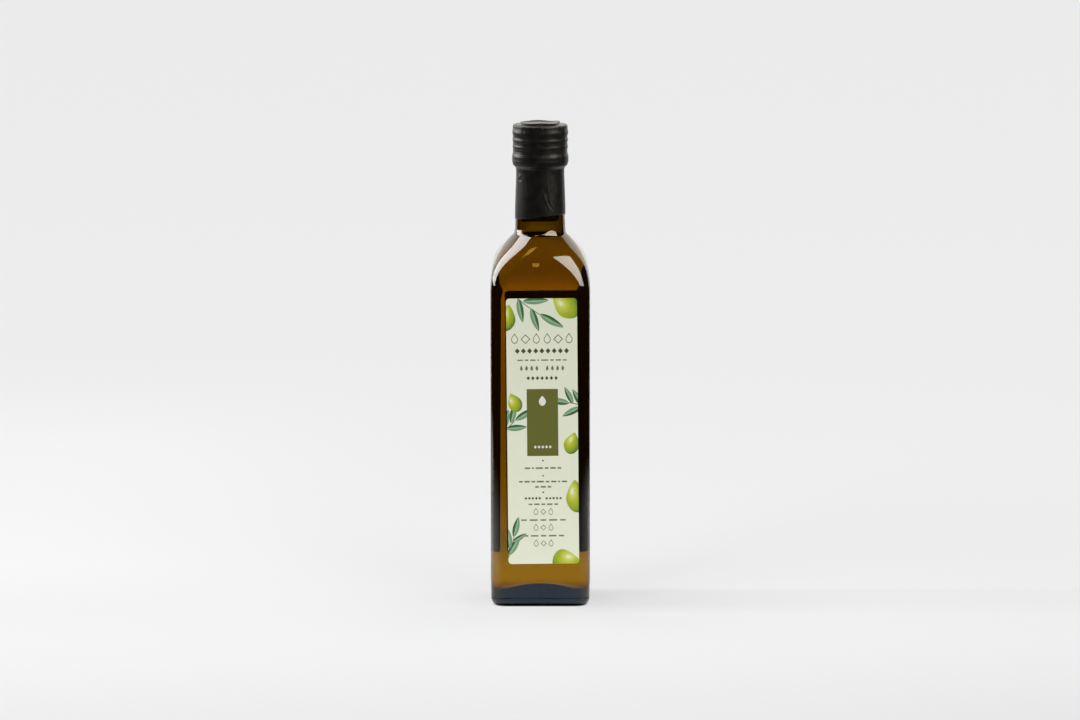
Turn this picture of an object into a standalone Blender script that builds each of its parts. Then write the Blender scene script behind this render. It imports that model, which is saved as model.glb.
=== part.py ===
"""Square olive oil bottle of half a litre: glass, oil, shrink capsule and two paper labels.

Metres, +Z up. The bottle stands at the origin on its base, and the front label faces -Y.
"""

import math

import bmesh
import bpy

# Glass body: a square with rounded corners
BODY_HALF = 0.028
BODY_CORNER = 0.0075
BODY_WALL = 0.0024
NECK_WALL = 0.0036
SHOULDER_FOOT = 0.1760
CORNER_FOOT = 0.1700
CORNER_BEND = 0.1730

# Shoulder and neck: the square turns into a circle
SHOULDER_SLOPE = math.radians(46)
SHOULDER_TOP = 0.2086
SHOULDER_TOP_RADIUS = 0.0160
FACE_RISE = 0.0160
CORNER_RISE = 0.0215
SHOULDER_PULL = 0.0140
NECK_RADIUS = 0.0141
NECK_FILLET = 0.0059
NECK_FOOT = 0.2128
NECK_TAPER_START = 0.2150
COVERED_NECK_START = 0.2200
COVERED_NECK_RADIUS = 0.0138
FINISH_START = 0.2430
FINISH_RADIUS = 0.0130
MOUTH = 0.2660

# Base: a rounded heel, a flat ring to stand on and a raised middle
HEEL_RADIUS = 0.0055
RING_WIDTH = 0.0025
PUNT_HEIGHT = 0.0035
INNER_HEEL = 0.0045
FLOOR_EDGE = 0.0060
FLOOR_RISE = 0.0030
# Rings of the underside and of the inner floor, as shares of the way out from the middle
PUNT_SHARES = (0.12, 0.4, 0.65, 0.85, 0.96, 1.0)
FLOOR_SHARES = (0.85, 0.65, 0.4, 0.12)
# How much of its roundness each ring has lost at the rim
PUNT_SQUARING = 0.5
FLOOR_SQUARING = 0.7

# Oil, which stands in the foot of the neck
OIL_LEVEL = 0.2084
CLEARANCE = 0.0003

# Shrink capsule over the closure
CAPSULE_WALL = 0.00025
CAPSULE_HEM = 0.2180
SLEEVE_END = 0.2140
HEM_RISE_RIGHT = 0.0017
HEM_RISE_FRONT = 0.0011
HEAD_FOOT = 0.2476
HEAD_TOP = 0.2706
HEAD_RADIUS = 0.0151
HEAD_EDGE = 0.0013
HEAD_SIDE_FOOT = 0.2484
HEAD_UNDERCUT = 0.0006
# The waist under the head: how far it stands out from the sleeve, and its height
WAIST = ((0.0005, 0.2469), (0.0001, 0.2454))
# Rounded ridges round the head: height, how far each stands out, and its half width
HEAD_RIDGES = (
    (0.2664, 0.00040, 0.0016),
    (0.2622, 0.00022, 0.0009),
    (0.2580, 0.00010, 0.0008),
    (0.2508, 0.00058, 0.0022),
)
DISC_RADIUS = 0.0111
DISC_FOOT = 0.2709
DISC_TOP = 0.2722
DISC_EDGE = 0.0003

# Labels
LABEL_WIDTH = 0.0403
LABEL_FOOT = 0.0248
LABEL_TOP = 0.1756
LABEL_CORNER = 0.0019
LABEL_THICKNESS = 0.0003
FRONT_SHIFT = 0.0012
BACK_SHIFT = 0.0014

# Colours, as linear shares of red, green and blue
GLASS_COLOUR = (0.16, 0.12, 0.02)
OIL_COLOUR = (0.45, 0.33, 0.02)
FILM_COLOUR = (0.012, 0.012, 0.012)
DISC_COLOUR = (0.030, 0.026, 0.025)
PAPER_COLOUR = (0.70, 0.72, 0.60)

# Fineness of the meshes
CORNER_STEPS = 12
TURN_STEPS = 48
HEAD_STEPS = 22
CURVE_STEPS = 12
HEEL_STEPS = 5
FILLET_STEPS = 4
HEAD_EDGE_STEPS = 4
LABEL_CORNER_STEPS = 5
SHARP_ANGLE = math.radians(35)
SAME_POINT = 0.00001
CUTTER_SIZE = 0.060


def clear_scene():
    for found in list(bpy.data.objects):
        bpy.data.objects.remove(found)


def make_collection(name):
    collection = bpy.data.collections.new(name)
    bpy.context.scene.collection.children.link(collection)
    return collection


def make_material(name, colour, roughness, metallic=0.0, transmission=0.0):
    material = bpy.data.materials.new(name)
    material.use_nodes = True
    shader = material.node_tree.nodes["Principled BSDF"]
    shader.inputs["Base Color"].default_value = (*colour, 1.0)
    shader.inputs["Roughness"].default_value = roughness
    shader.inputs["Metallic"].default_value = metallic
    shader.inputs["Transmission Weight"].default_value = transmission
    return material


def add_object(name, data, collection, material):
    made = bpy.data.objects.new(name, data)
    collection.objects.link(made)
    made.data.materials.append(material)
    return made


# Outlines are lists of (half width, height), from low to high.


def arc(centre, radius, start, end, steps):
    """Points on an arc about a centre, with angles in radians from the outward side."""
    points = []
    for i in range(steps + 1):
        angle = start + (end - start) * i / steps
        points.append((centre[0] + radius * math.cos(angle), centre[1] + radius * math.sin(angle)))
    return points


def bezier(first, second, third, fourth, steps):
    points = []
    for i in range(steps + 1):
        t = i / steps
        weights = ((1 - t) ** 3, 3 * (1 - t) ** 2 * t, 3 * (1 - t) * t * t, t**3)
        ends = (first, second, third, fourth)
        points.append(tuple(sum(w * p[axis] for w, p in zip(weights, ends)) for axis in (0, 1)))
    return points


def shoulder_outline(foot_half, foot, rise):
    """The outline from the heel to the mouth, with the shoulder starting at the given foot."""
    heel = arc((foot_half - HEEL_RADIUS, HEEL_RADIUS), HEEL_RADIUS, -math.pi / 2, 0, HEEL_STEPS)
    shoulder = bezier(
        (foot_half, foot),
        (foot_half, foot + rise),
        (
            SHOULDER_TOP_RADIUS + SHOULDER_PULL * math.sin(SHOULDER_SLOPE),
            SHOULDER_TOP - SHOULDER_PULL * math.cos(SHOULDER_SLOPE),
        ),
        (SHOULDER_TOP_RADIUS, SHOULDER_TOP),
        CURVE_STEPS,
    )
    fillet = arc(
        (NECK_RADIUS + NECK_FILLET, NECK_FOOT),
        NECK_FILLET,
        math.pi + SHOULDER_SLOPE,
        math.pi,
        FILLET_STEPS,
    )
    neck = [
        (NECK_RADIUS, NECK_TAPER_START),
        (COVERED_NECK_RADIUS, COVERED_NECK_START),
        (FINISH_RADIUS, FINISH_START),
        (FINISH_RADIUS, MOUTH),
    ]
    return heel + shoulder + fillet[1:] + neck


def glass_wall(height):
    """The wall's thickness, which grows from the shoulder's foot to the neck."""
    share = (height - SHOULDER_FOOT) / (NECK_FOOT - SHOULDER_FOOT)
    return BODY_WALL + (NECK_WALL - BODY_WALL) * min(max(share, 0.0), 1.0)


def inset(outline, wall_at):
    """The outline moved inwards, square to itself, by a wall that may change with the height."""
    moved = []
    for i, (half, height) in enumerate(outline):
        wall = wall_at(height)
        before = outline[max(i - 1, 0)]
        after = outline[min(i + 1, len(outline) - 1)]
        run = after[0] - before[0]
        rise = after[1] - before[1]
        length = math.hypot(run, rise)
        moved.append((half - wall * rise / length, height + wall * run / length))
    return moved


def half_at(outline, height):
    """The half width of an outline at a height."""
    for low, high in zip(outline, outline[1:]):
        if low[1] <= height <= high[1] and high[1] > low[1]:
            part = (height - low[1]) / (high[1] - low[1])
            return low[0] + part * (high[0] - low[0])
    return outline[-1][0]


def reach_of(half, corner):
    """How far the corners of a rounded square reach from its middle."""
    return half * math.sqrt(2) - corner * (math.sqrt(2) - 1)


def ring_points(half, corner, height):
    """A rounded square, which is a circle where its corner radius is its half width."""
    corner = min(corner, half)
    points = []
    for quarter in range(4):
        for step in range(CORNER_STEPS):
            angle = math.pi / 2 * (quarter + (step + 0.5) / CORNER_STEPS)
            side_x = math.copysign(half - corner, math.cos(angle))
            side_y = math.copysign(half - corner, math.sin(angle))
            points.append((side_x + corner * math.cos(angle), side_y + corner * math.sin(angle), height))
    return points


def rings_between(flat, diagonal, heights):
    """Rings whose flats follow one outline and whose corners follow the other."""
    rings = []
    for height in heights:
        half = half_at(flat, height)
        reach = half_at(diagonal, height)
        corner = (half * math.sqrt(2) - reach) / (math.sqrt(2) - 1)
        rings.append(ring_points(half, max(corner, 0.0), height))
    return rings


def loft(name, rings):
    """A closed mesh through the rings, with a flat face on the first and on the last."""
    mesh = bpy.data.meshes.new(name)
    shape = bmesh.new()
    rows = [[shape.verts.new(point) for point in ring] for ring in rings]
    count = len(rows[0])
    for lower, upper in zip(rows, rows[1:]):
        for i in range(count):
            j = (i + 1) % count
            shape.faces.new((lower[i], lower[j], upper[j], upper[i]))
    shape.faces.new(list(reversed(rows[0])))
    shape.faces.new(rows[-1])
    bmesh.ops.recalc_face_normals(shape, faces=shape.faces)
    shape.to_mesh(mesh)
    shape.free()
    mesh.shade_smooth()
    mesh.set_sharp_from_angle(angle=SHARP_ANGLE)
    return mesh


def shoulder_heights(outline, top):
    """Heights from the shoulder's foot up to the top, where the outline has its points."""
    return [height for _, height in outline if CORNER_FOOT - BODY_WALL < height < top]


def base_rings():
    """The underside, from the middle of the punt out to the heel."""
    ring_half = BODY_HALF - HEEL_RADIUS
    ring_corner = BODY_CORNER - HEEL_RADIUS / 2
    inner = ring_half - RING_WIDTH
    rings = []
    for share in PUNT_SHARES:
        height = PUNT_HEIGHT * (1 - share**4)
        corner = inner * share * (1 - PUNT_SQUARING * share)
        rings.append(ring_points(inner * share, corner, height))
    rings.append(ring_points(ring_half, ring_corner, 0.0))
    return rings


def heel_rings():
    rings = []
    for half, height in arc(
        (BODY_HALF - HEEL_RADIUS, HEEL_RADIUS), HEEL_RADIUS, -math.pi / 2, 0, HEEL_STEPS
    )[1:]:
        rings.append(ring_points(half, BODY_CORNER - (BODY_HALF - half) / 2, height))
    return rings


def floor_rings(clearance):
    """The inner floor from its rim to its middle, and the rounded edge above its rim."""
    half = BODY_HALF - BODY_WALL - clearance
    corner = BODY_CORNER - BODY_WALL - clearance / 2
    floor_half = half - INNER_HEEL
    rings = []
    for point_half, height in reversed(
        arc((floor_half, FLOOR_EDGE + INNER_HEEL + clearance), INNER_HEEL, -math.pi / 2, 0, HEEL_STEPS)
    ):
        rings.append(ring_points(point_half, corner - (half - point_half) / 4, height))
    for share in FLOOR_SHARES:
        height = FLOOR_EDGE + clearance + FLOOR_RISE * (1 - share**2)
        ring_corner = floor_half * share * (1 - FLOOR_SQUARING * share)
        rings.append(ring_points(floor_half * share, ring_corner, height))
    return rings


def make_bottle(collection, outlines):
    flat, diagonal, inner_flat, inner_diagonal = outlines
    outer_heights = shoulder_heights(flat, MOUTH)
    outer_heights = [CORNER_FOOT, CORNER_BEND] + outer_heights + [MOUTH]
    inner_heights = [height for height in outer_heights if height < MOUTH]
    rings = base_rings() + heel_rings()
    rings += rings_between(flat, diagonal, outer_heights)
    bore = FINISH_RADIUS - NECK_WALL
    rings.append(ring_points(bore, bore, MOUTH))
    rings += rings_between(inner_flat, inner_diagonal, reversed(inner_heights))
    rings += floor_rings(0.0)
    material = make_material("amber_green_glass", GLASS_COLOUR, 0.02, transmission=1.0)
    return add_object("bottle", loft("bottle", rings), collection, material)


def make_oil(collection, outlines):
    inner_flat, inner_diagonal = outlines[2:]
    flat = inset(inner_flat, lambda height: CLEARANCE)
    diagonal = inset(inner_diagonal, lambda height: CLEARANCE)
    heights = [CORNER_FOOT, CORNER_BEND] + shoulder_heights(flat, OIL_LEVEL) + [OIL_LEVEL]
    rings = list(reversed(floor_rings(CLEARANCE)))
    rings += rings_between(flat, diagonal, heights)
    material = make_material("olive_oil", OIL_COLOUR, 0.05, transmission=0.9)
    return add_object("oil", loft("oil", rings), collection, material)


def head_radius(height):
    """The radius of the capsule's head, with its ridges."""
    radius = HEAD_RADIUS
    for middle, depth, width in HEAD_RIDGES:
        radius += depth * math.exp(-(((height - middle) / width) ** 2))
    return radius


def turned(name, profile, collection, material):
    """A solid of revolution from (radius, height) points that run down its outer side."""
    mesh = bpy.data.meshes.new(name)
    edges = [(i, i + 1) for i in range(len(profile) - 1)]
    mesh.from_pydata([(radius, 0.0, height) for radius, height in profile], edges, [])
    made = add_object(name, mesh, collection, material)
    screw = made.modifiers.new("turn", "SCREW")
    screw.steps = TURN_STEPS
    screw.render_steps = TURN_STEPS
    screw.use_merge_vertices = True
    screw.merge_threshold = SAME_POINT
    screw.use_smooth_shade = True
    return made


def make_hem_cutter(collection):
    """A block whose top is the slanting plane of the capsule's lower edge."""
    bpy.ops.mesh.primitive_cube_add(size=CUTTER_SIZE)
    cutter = bpy.context.object
    cutter.name = "hem_cutter"
    for holder in list(cutter.users_collection):
        holder.objects.unlink(cutter)
    collection.objects.link(cutter)
    for vert in cutter.data.vertices:
        vert.co.z += CAPSULE_HEM - CUTTER_SIZE / 2
        if vert.co.z > CAPSULE_HEM - CUTTER_SIZE / 2:
            vert.co.z += (HEM_RISE_RIGHT * vert.co.x - HEM_RISE_FRONT * vert.co.y) / NECK_RADIUS
    cutter.hide_render = True
    cutter.display_type = "WIRE"
    return cutter


def make_capsule(collection, cutters):
    """A cup over the neck: a thin sleeve below, and a thicker ridged head round the closure."""
    side_top = HEAD_TOP - HEAD_EDGE
    edge_centre = (head_radius(side_top) - HEAD_EDGE, side_top)
    profile = [(0.0, HEAD_TOP)] + arc(edge_centre, HEAD_EDGE, math.pi / 2, 0, HEAD_EDGE_STEPS)
    for i in range(1, HEAD_STEPS + 1):
        height = side_top + (HEAD_SIDE_FOOT - side_top) * i / HEAD_STEPS
        profile.append((head_radius(height), height))
    gap = CLEARANCE + CAPSULE_WALL
    profile.append((head_radius(HEAD_SIDE_FOOT) - HEAD_UNDERCUT, HEAD_FOOT))
    profile += [(FINISH_RADIUS + gap + out, height) for out, height in WAIST]
    profile += [
        (FINISH_RADIUS + gap, FINISH_START),
        (COVERED_NECK_RADIUS + gap, COVERED_NECK_START),
        (NECK_RADIUS + gap, SLEEVE_END),
        (NECK_RADIUS + CLEARANCE, SLEEVE_END),
        (COVERED_NECK_RADIUS + CLEARANCE, COVERED_NECK_START),
        (FINISH_RADIUS + CLEARANCE, FINISH_START),
        (FINISH_RADIUS + CLEARANCE, MOUTH + CLEARANCE),
        (0.0, MOUTH + CLEARANCE),
    ]
    material = make_material("capsule_black", FILM_COLOUR, 0.45)
    capsule = turned("capsule", profile, collection, material)
    cut = capsule.modifiers.new("hem", "BOOLEAN")
    cut.operation = "DIFFERENCE"
    cut.solver = "EXACT"
    cut.object = make_hem_cutter(cutters)
    return capsule


def make_disc(collection):
    """The thin round top of the capsule, which lies on its head."""
    profile = [
        (0.0, DISC_TOP),
        (DISC_RADIUS - DISC_EDGE, DISC_TOP),
        (DISC_RADIUS, DISC_TOP - DISC_EDGE),
        (DISC_RADIUS, DISC_FOOT + DISC_EDGE),
        (DISC_RADIUS - DISC_EDGE, DISC_FOOT),
        (0.0, DISC_FOOT),
    ]
    material = make_material("disc_black", DISC_COLOUR, 0.4)
    return turned("capsule_disc", profile, collection, material)


def label_outline():
    """A rectangle with round corners, about the middle of the label."""
    half_width = LABEL_WIDTH / 2 - LABEL_CORNER
    half_height = (LABEL_TOP - LABEL_FOOT) / 2 - LABEL_CORNER
    points = []
    for side_x, side_y, start in ((1, 1, 0), (-1, 1, 1), (-1, -1, 2), (1, -1, 3)):
        for step in range(LABEL_CORNER_STEPS + 1):
            angle = math.pi / 2 * (start + step / LABEL_CORNER_STEPS)
            across = side_x * half_width + LABEL_CORNER * math.cos(angle)
            along = side_y * half_height + LABEL_CORNER * math.sin(angle)
            points.append((across, along))
    return points


def make_label(name, side, shift, collection):
    """A label on the front (side -1) or the back (side 1), standing upright."""
    curve = bpy.data.curves.new(name, "CURVE")
    curve.dimensions = "2D"
    curve.fill_mode = "BOTH"
    curve.extrude = LABEL_THICKNESS / 2
    outline = label_outline()
    spline = curve.splines.new("POLY")
    spline.points.add(len(outline) - 1)
    for point, (across, along) in zip(spline.points, outline):
        point.co = (across, along, 0.0, 1.0)
    spline.use_cyclic_u = True
    label = add_object(name, curve, collection, make_material(name + "_paper", PAPER_COLOUR, 0.5))
    depth = BODY_HALF + CLEARANCE + LABEL_THICKNESS / 2
    label.location = (shift, side * depth, (LABEL_FOOT + LABEL_TOP) / 2)
    label.rotation_euler = (math.pi / 2, 0.0, 0.0)
    return label


def main():
    clear_scene()
    parts = make_collection("olive_oil_bottle")
    cutters = make_collection("cutters")
    flat = shoulder_outline(BODY_HALF, SHOULDER_FOOT, FACE_RISE)
    diagonal = shoulder_outline(reach_of(BODY_HALF, BODY_CORNER), CORNER_FOOT, CORNER_RISE)
    inner_flat = inset(flat, glass_wall)
    inner_diagonal = inset(diagonal, glass_wall)
    outlines = (flat, diagonal, inner_flat, inner_diagonal)
    make_bottle(parts, outlines)
    make_oil(parts, outlines)
    make_capsule(parts, cutters)
    make_disc(parts)
    make_label("front_label", -1, FRONT_SHIFT, parts)
    make_label("back_label", 1, BACK_SHIFT, parts)


main()
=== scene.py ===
"""The looks of a square olive oil bottle: glass, oil, shrink capsule, labels and a pale studio."""

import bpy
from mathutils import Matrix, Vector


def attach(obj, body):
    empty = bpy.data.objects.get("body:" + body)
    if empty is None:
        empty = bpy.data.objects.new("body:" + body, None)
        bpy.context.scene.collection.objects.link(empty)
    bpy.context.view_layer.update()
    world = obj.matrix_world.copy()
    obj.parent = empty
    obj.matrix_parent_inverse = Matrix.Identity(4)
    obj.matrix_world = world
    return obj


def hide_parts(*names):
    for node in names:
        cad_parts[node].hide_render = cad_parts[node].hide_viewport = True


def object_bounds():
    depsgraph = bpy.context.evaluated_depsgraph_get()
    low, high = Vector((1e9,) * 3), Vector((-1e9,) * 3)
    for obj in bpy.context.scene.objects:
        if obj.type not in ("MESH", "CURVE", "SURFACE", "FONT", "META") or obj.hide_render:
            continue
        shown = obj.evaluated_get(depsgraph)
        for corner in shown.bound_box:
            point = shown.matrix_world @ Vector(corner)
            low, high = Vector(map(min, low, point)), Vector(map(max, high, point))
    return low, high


bl_info = {
    "name": "Olive Oil Bottle",
    "version": (1, 0, 0),
    "blender": (4, 5, 0),
    "location": "3D View > Sidebar > Bottle",
    "description": "Models the glass, oil, capsule, labels and studio of a square olive oil bottle",
    "category": "Object",
}

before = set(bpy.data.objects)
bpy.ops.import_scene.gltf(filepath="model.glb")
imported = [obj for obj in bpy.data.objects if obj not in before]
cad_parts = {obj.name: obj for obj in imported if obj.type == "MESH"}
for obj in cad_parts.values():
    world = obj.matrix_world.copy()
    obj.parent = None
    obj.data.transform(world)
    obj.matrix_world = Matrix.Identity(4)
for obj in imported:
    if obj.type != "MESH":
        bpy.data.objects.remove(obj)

import math

import bmesh
import bpy
import numpy as np
from mathutils import Matrix, Vector

CAD_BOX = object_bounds()
ROOT_BODY = "root"

# Glass body: a square with rounded corners
BODY_HALF = 0.0280
BODY_CORNER = 0.0069
SHOULDER_FOOT = 0.1760
CORNER_FOOT = 0.1745

# Shoulder and neck: the square turns into a circle
SHOULDER_SLOPE = math.radians(46)
SHOULDER_TOP = 0.2086
SHOULDER_TOP_RADIUS = 0.0160
FACE_RISE = 0.0160
CORNER_RISE = 0.0170
SHOULDER_PULL = 0.0140
NECK_RADIUS = 0.0141
NECK_FILLET = 0.0059
NECK_FOOT = 0.2128
NECK_TAPER_START = 0.2150
COVERED_NECK_START = 0.2200
COVERED_NECK_RADIUS = 0.0138
FINISH_START = 0.2430
FINISH_RADIUS = 0.0130
MOUTH = 0.2660

# Base: a rounded heel, a flat ring to stand on and a raised middle
HEEL_RADIUS = 0.0047
RING_WIDTH = 0.0025
PUNT_HEIGHT = 0.0035
INNER_HEEL = 0.0045
FLOOR_EDGE = 0.0060
FLOOR_RISE = 0.0045
# The mould line above the heel: its height over the heel, half its width and its depth
LINE_RISE = 0.0004
LINE_HALF = 0.00028
LINE_DEPTH = 0.00012

# Capsule
HEAD_FOOT = 0.2476
HEAD_TOP = 0.2706
HEAD_RADIUS = 0.0153
HEAD_EDGE = 0.0009
# Ridges round the head: height, how far each stands out, and its half width
HEAD_RIDGES = (
    (0.2664, 0.00038, 0.0016),
    (0.2622, 0.00030, 0.0009),
    (0.2583, 0.00022, 0.0009),
    (0.2528, 0.00048, 0.0015),
    (0.2502, 0.00050, 0.0016),
)
HEM_MIDDLE = 0.2189
HEM_RISE_RIGHT = 0.0016
HEM_RISE_FRONT = 0.0006
HEM_BACK = 0.2148
HEM_BACK_FALL = 0.0019
# Creases in the sleeve: turn and height of the lower end, then of the upper end, in degrees and metres
CREASES = (
    (301, 0.2215, 271, 0.2385, 0.00005),
    (297, 0.2262, 288, 0.2392, 0.00007),
    (292, 0.2240, 279, 0.2330, 0.00007),
    (306, 0.2222, 281, 0.2236, 0.00008),
    (243, 0.2300, 236, 0.2390, 0.00008),
)
CREASE_WIDTH = 0.00055
CREASE_BEND = 0.6
DISC_RADIUS = 0.0111

# Labels, in metres, about each label's middle
LABEL_FOOT = 0.0248
LABEL_TOP = 0.1756
LABEL_WIDTH = 0.0398
BACK_TOP = 0.1746
BACK_WIDTH = 0.0414
LABEL_CORNER = 0.0019
INK_RISE = 0.00001
INK_STEP = 0.0000006
INK_DEPTH = 0.00010
TRIM_STEPS = 6
MM = 0.001

# Fineness of the turned pieces
TURN_STEPS = 240
FILM_STEPS = 480
CORNER_CROWDING = 0.6


# Colours and materials


def srgb(red, green, blue):
    """A colour given as 0 to 255 in each channel, as the linear values that a shader takes."""
    linear = []
    for value in (red / 255, green / 255, blue / 255):
        linear.append(value / 12.92 if value <= 0.04045 else ((value + 0.055) / 1.055) ** 2.4)
    return (*linear, 1.0)


def new_material(name):
    """An empty material's node tree and its Principled shader."""
    material = bpy.data.materials.new(name)
    material.use_nodes = True
    return material, material.node_tree.nodes["Principled BSDF"]


def add_node(tree, kind, **settings):
    """A node with its settings; a setting whose name is an input's number fills that input."""
    made = tree.nodes.new(kind)
    for name, value in settings.items():
        if name.startswith("input_"):
            made.inputs[int(name[6:])].default_value = value
        else:
            setattr(made, name, value)
    return made


def colour_ramp(tree, factor, stops, interpolation="LINEAR"):
    """A ramp through (place, colour) stops, fed by a factor socket."""
    ramp = add_node(tree, "ShaderNodeValToRGB")
    ramp.color_ramp.interpolation = interpolation
    elements = ramp.color_ramp.elements
    while len(elements) < len(stops):
        elements.new(0.5)
    for element, (place, colour) in zip(elements, stops):
        element.position = place
        element.color = colour
    tree.links.new(factor, ramp.inputs["Fac"])
    return ramp.outputs["Color"]


def noise(tree, scale, detail=2.0, roughness=0.5, stretch=(1.0, 1.0, 1.0), coordinates="Object"):
    """Noise on the piece's own coordinates; scale is in waves per metre."""
    place = add_node(tree, "ShaderNodeTexCoord")
    mapping = add_node(tree, "ShaderNodeMapping")
    mapping.inputs["Scale"].default_value = stretch
    texture = add_node(tree, "ShaderNodeTexNoise")
    texture.inputs["Scale"].default_value = scale
    texture.inputs["Detail"].default_value = detail
    texture.inputs["Roughness"].default_value = roughness
    tree.links.new(place.outputs[coordinates], mapping.inputs["Vector"])
    tree.links.new(mapping.outputs["Vector"], texture.inputs["Vector"])
    return texture.outputs["Fac"]


def add_bump(tree, shader, height, distance, strength=1.0):
    bump = add_node(tree, "ShaderNodeBump")
    bump.inputs["Strength"].default_value = strength
    bump.inputs["Distance"].default_value = distance
    tree.links.new(height, bump.inputs["Height"])
    tree.links.new(bump.outputs["Normal"], shader.inputs["Normal"])


def dry_tint(tree, shader):
    """Keeps the mirror of a see-through piece to where it meets air, by its attribute wet."""
    wet = add_node(tree, "ShaderNodeAttribute", attribute_name="wet")
    dry = add_node(tree, "ShaderNodeMath", operation="SUBTRACT", use_clamp=True)
    dry.inputs[0].default_value = 1.0
    tree.links.new(wet.outputs["Fac"], dry.inputs[1])
    tree.links.new(dry.outputs[0], shader.inputs["Specular Tint"])


def clear_material(name, ior, colour, density):
    """A clear piece that takes up light on its way through."""
    material, shader = new_material(name)
    tree = material.node_tree
    shader.inputs["Base Color"].default_value = (1.0, 1.0, 1.0, 1.0)
    shader.inputs["Transmission Weight"].default_value = 1.0
    shader.inputs["Roughness"].default_value = 0.0
    shader.inputs["IOR"].default_value = ior
    dry_tint(tree, shader)
    absorption = add_node(tree, "ShaderNodeVolumeAbsorption")
    absorption.inputs["Color"].default_value = colour
    absorption.inputs["Density"].default_value = density
    tree.links.new(absorption.outputs["Volume"], tree.nodes["Material Output"].inputs["Volume"])
    return material, shader


def glass_material(settings):
    material, shader = clear_material(
        "bottle_glass", 1.52, settings.glass_colour[:] + (1.0,), settings.glass_density
    )
    tree = material.node_tree
    waves = noise(tree, 45.0, detail=1.0, stretch=(1.0, 1.0, 0.35))
    add_bump(tree, shader, waves, 0.00006)
    return material


def oil_material(settings):
    return clear_material(
        "golden_oil", 1.47, settings.oil_colour[:] + (1.0,), settings.oil_density
    )[0]


def film_material(settings, name, gloss_level, tint):
    """Black shrink film: satin, finely grained, a little browner where it is stretched."""
    material, shader = new_material(name)
    tree = material.node_tree
    patches = noise(tree, 260.0, detail=3.0)
    dark = settings.film_colour[:] + (1.0,)
    pale = tuple(c * f for c, f in zip(settings.film_colour[:], (3.2, 2.5, 2.2))) + (1.0,)
    tree.links.new(colour_ramp(tree, patches, ((0.35, dark), (0.75, pale))), shader.inputs["Base Color"])
    grain = noise(tree, 4200.0, detail=2.0)
    shader.inputs["Specular IOR Level"].default_value = gloss_level
    shader.inputs["Specular Tint"].default_value = tint
    gloss = add_node(tree, "ShaderNodeMapRange")
    gloss.inputs["To Min"].default_value = 0.31
    gloss.inputs["To Max"].default_value = 0.46
    tree.links.new(patches, gloss.inputs["Value"])
    tree.links.new(gloss.outputs["Result"], shader.inputs["Roughness"])
    add_bump(tree, shader, grain, 0.00001, 0.5)
    return material


def paper_material(settings):
    """Smooth coated paper with a faint cloud in its colour."""
    material, shader = new_material("label_paper")
    tree = material.node_tree
    cloud = noise(tree, 90.0, detail=3.0)
    warm = settings.paper_colour[:] + (1.0,)
    cool = tuple(c * f for c, f in zip(settings.paper_colour[:], (0.955, 0.985, 0.97))) + (1.0,)
    tree.links.new(colour_ramp(tree, cloud, ((0.3, warm), (0.7, cool))), shader.inputs["Base Color"])
    shader.inputs["Roughness"].default_value = 0.5
    add_bump(tree, shader, noise(tree, 5200.0, detail=2.0), 0.000006, 0.4)
    return material


def plain_ink(name, colour, depth=0.12):
    """Flat printing ink with a faint speckle."""
    material, shader = new_material(name)
    tree = material.node_tree
    speckle = noise(tree, 2600.0, detail=2.0)
    low = tuple(c * (1 - depth) for c in colour[:3]) + (1.0,)
    tree.links.new(colour_ramp(tree, speckle, ((0.3, low), (0.7, colour))), shader.inputs["Base Color"])
    shader.inputs["Roughness"].default_value = 0.5
    return material


def drop_ink():
    """A drop of green oil in print: a white sheen, a yellow-green body and a darker edge."""
    material, shader = new_material("ink_drop")
    tree = material.node_tree
    place = add_node(tree, "ShaderNodeTexCoord")
    reach = add_node(tree, "ShaderNodeVectorMath", operation="DISTANCE")
    reach.inputs[1].default_value = (0.34, 0.66, 0.0)
    tree.links.new(place.outputs["UV"], reach.inputs[0])
    mottle = noise(tree, 14.0, detail=3.0, coordinates="UV")
    shift = add_node(tree, "ShaderNodeMath", operation="MULTIPLY_ADD")
    shift.inputs[1].default_value = 0.22
    tree.links.new(mottle, shift.inputs[0])
    tree.links.new(reach.outputs["Value"], shift.inputs[2])
    stops = (
        (0.13, srgb(236, 240, 205)),
        (0.26, srgb(205, 212, 88)),
        (0.45, srgb(176, 186, 20)),
        (0.66, srgb(140, 164, 12)),
        (0.84, srgb(58, 98, 34)),
    )
    tree.links.new(colour_ramp(tree, shift.outputs[0], stops), shader.inputs["Base Color"])
    shader.inputs["Roughness"].default_value = 0.5
    return material


def leaf_ink():
    """A leaf in print: one dark half, one pale half, a cream midrib and brushed streaks."""
    material, shader = new_material("ink_leaf")
    tree = material.node_tree
    place = add_node(tree, "ShaderNodeTexCoord")
    parts = add_node(tree, "ShaderNodeSeparateXYZ")
    tree.links.new(place.outputs["UV"], parts.inputs[0])
    streaks = noise(tree, 5.0, detail=4.0, stretch=(7.0, 1.0, 1.0), coordinates="UV")
    across = add_node(tree, "ShaderNodeMath", operation="MULTIPLY_ADD")
    across.inputs[1].default_value = 0.22
    tree.links.new(streaks, across.inputs[0])
    tree.links.new(parts.outputs["X"], across.inputs[2])
    stops = (
        (0.16, srgb(34, 82, 44)),
        (0.36, srgb(48, 110, 62)),
        (0.545, srgb(84, 138, 84)),
        (0.585, srgb(214, 222, 190)),
        (0.64, srgb(150, 182, 142)),
        (0.86, srgb(112, 156, 110)),
    )
    tree.links.new(colour_ramp(tree, across.outputs[0], stops), shader.inputs["Base Color"])
    shader.inputs["Roughness"].default_value = 0.5
    return material


# Outlines of the glass, as lists of (half width, height) from low to high


def arc(centre, radius, start, end, steps):
    points = []
    for i in range(steps + 1):
        angle = start + (end - start) * i / steps
        points.append((centre[0] + radius * math.cos(angle), centre[1] + radius * math.sin(angle)))
    return points


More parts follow.
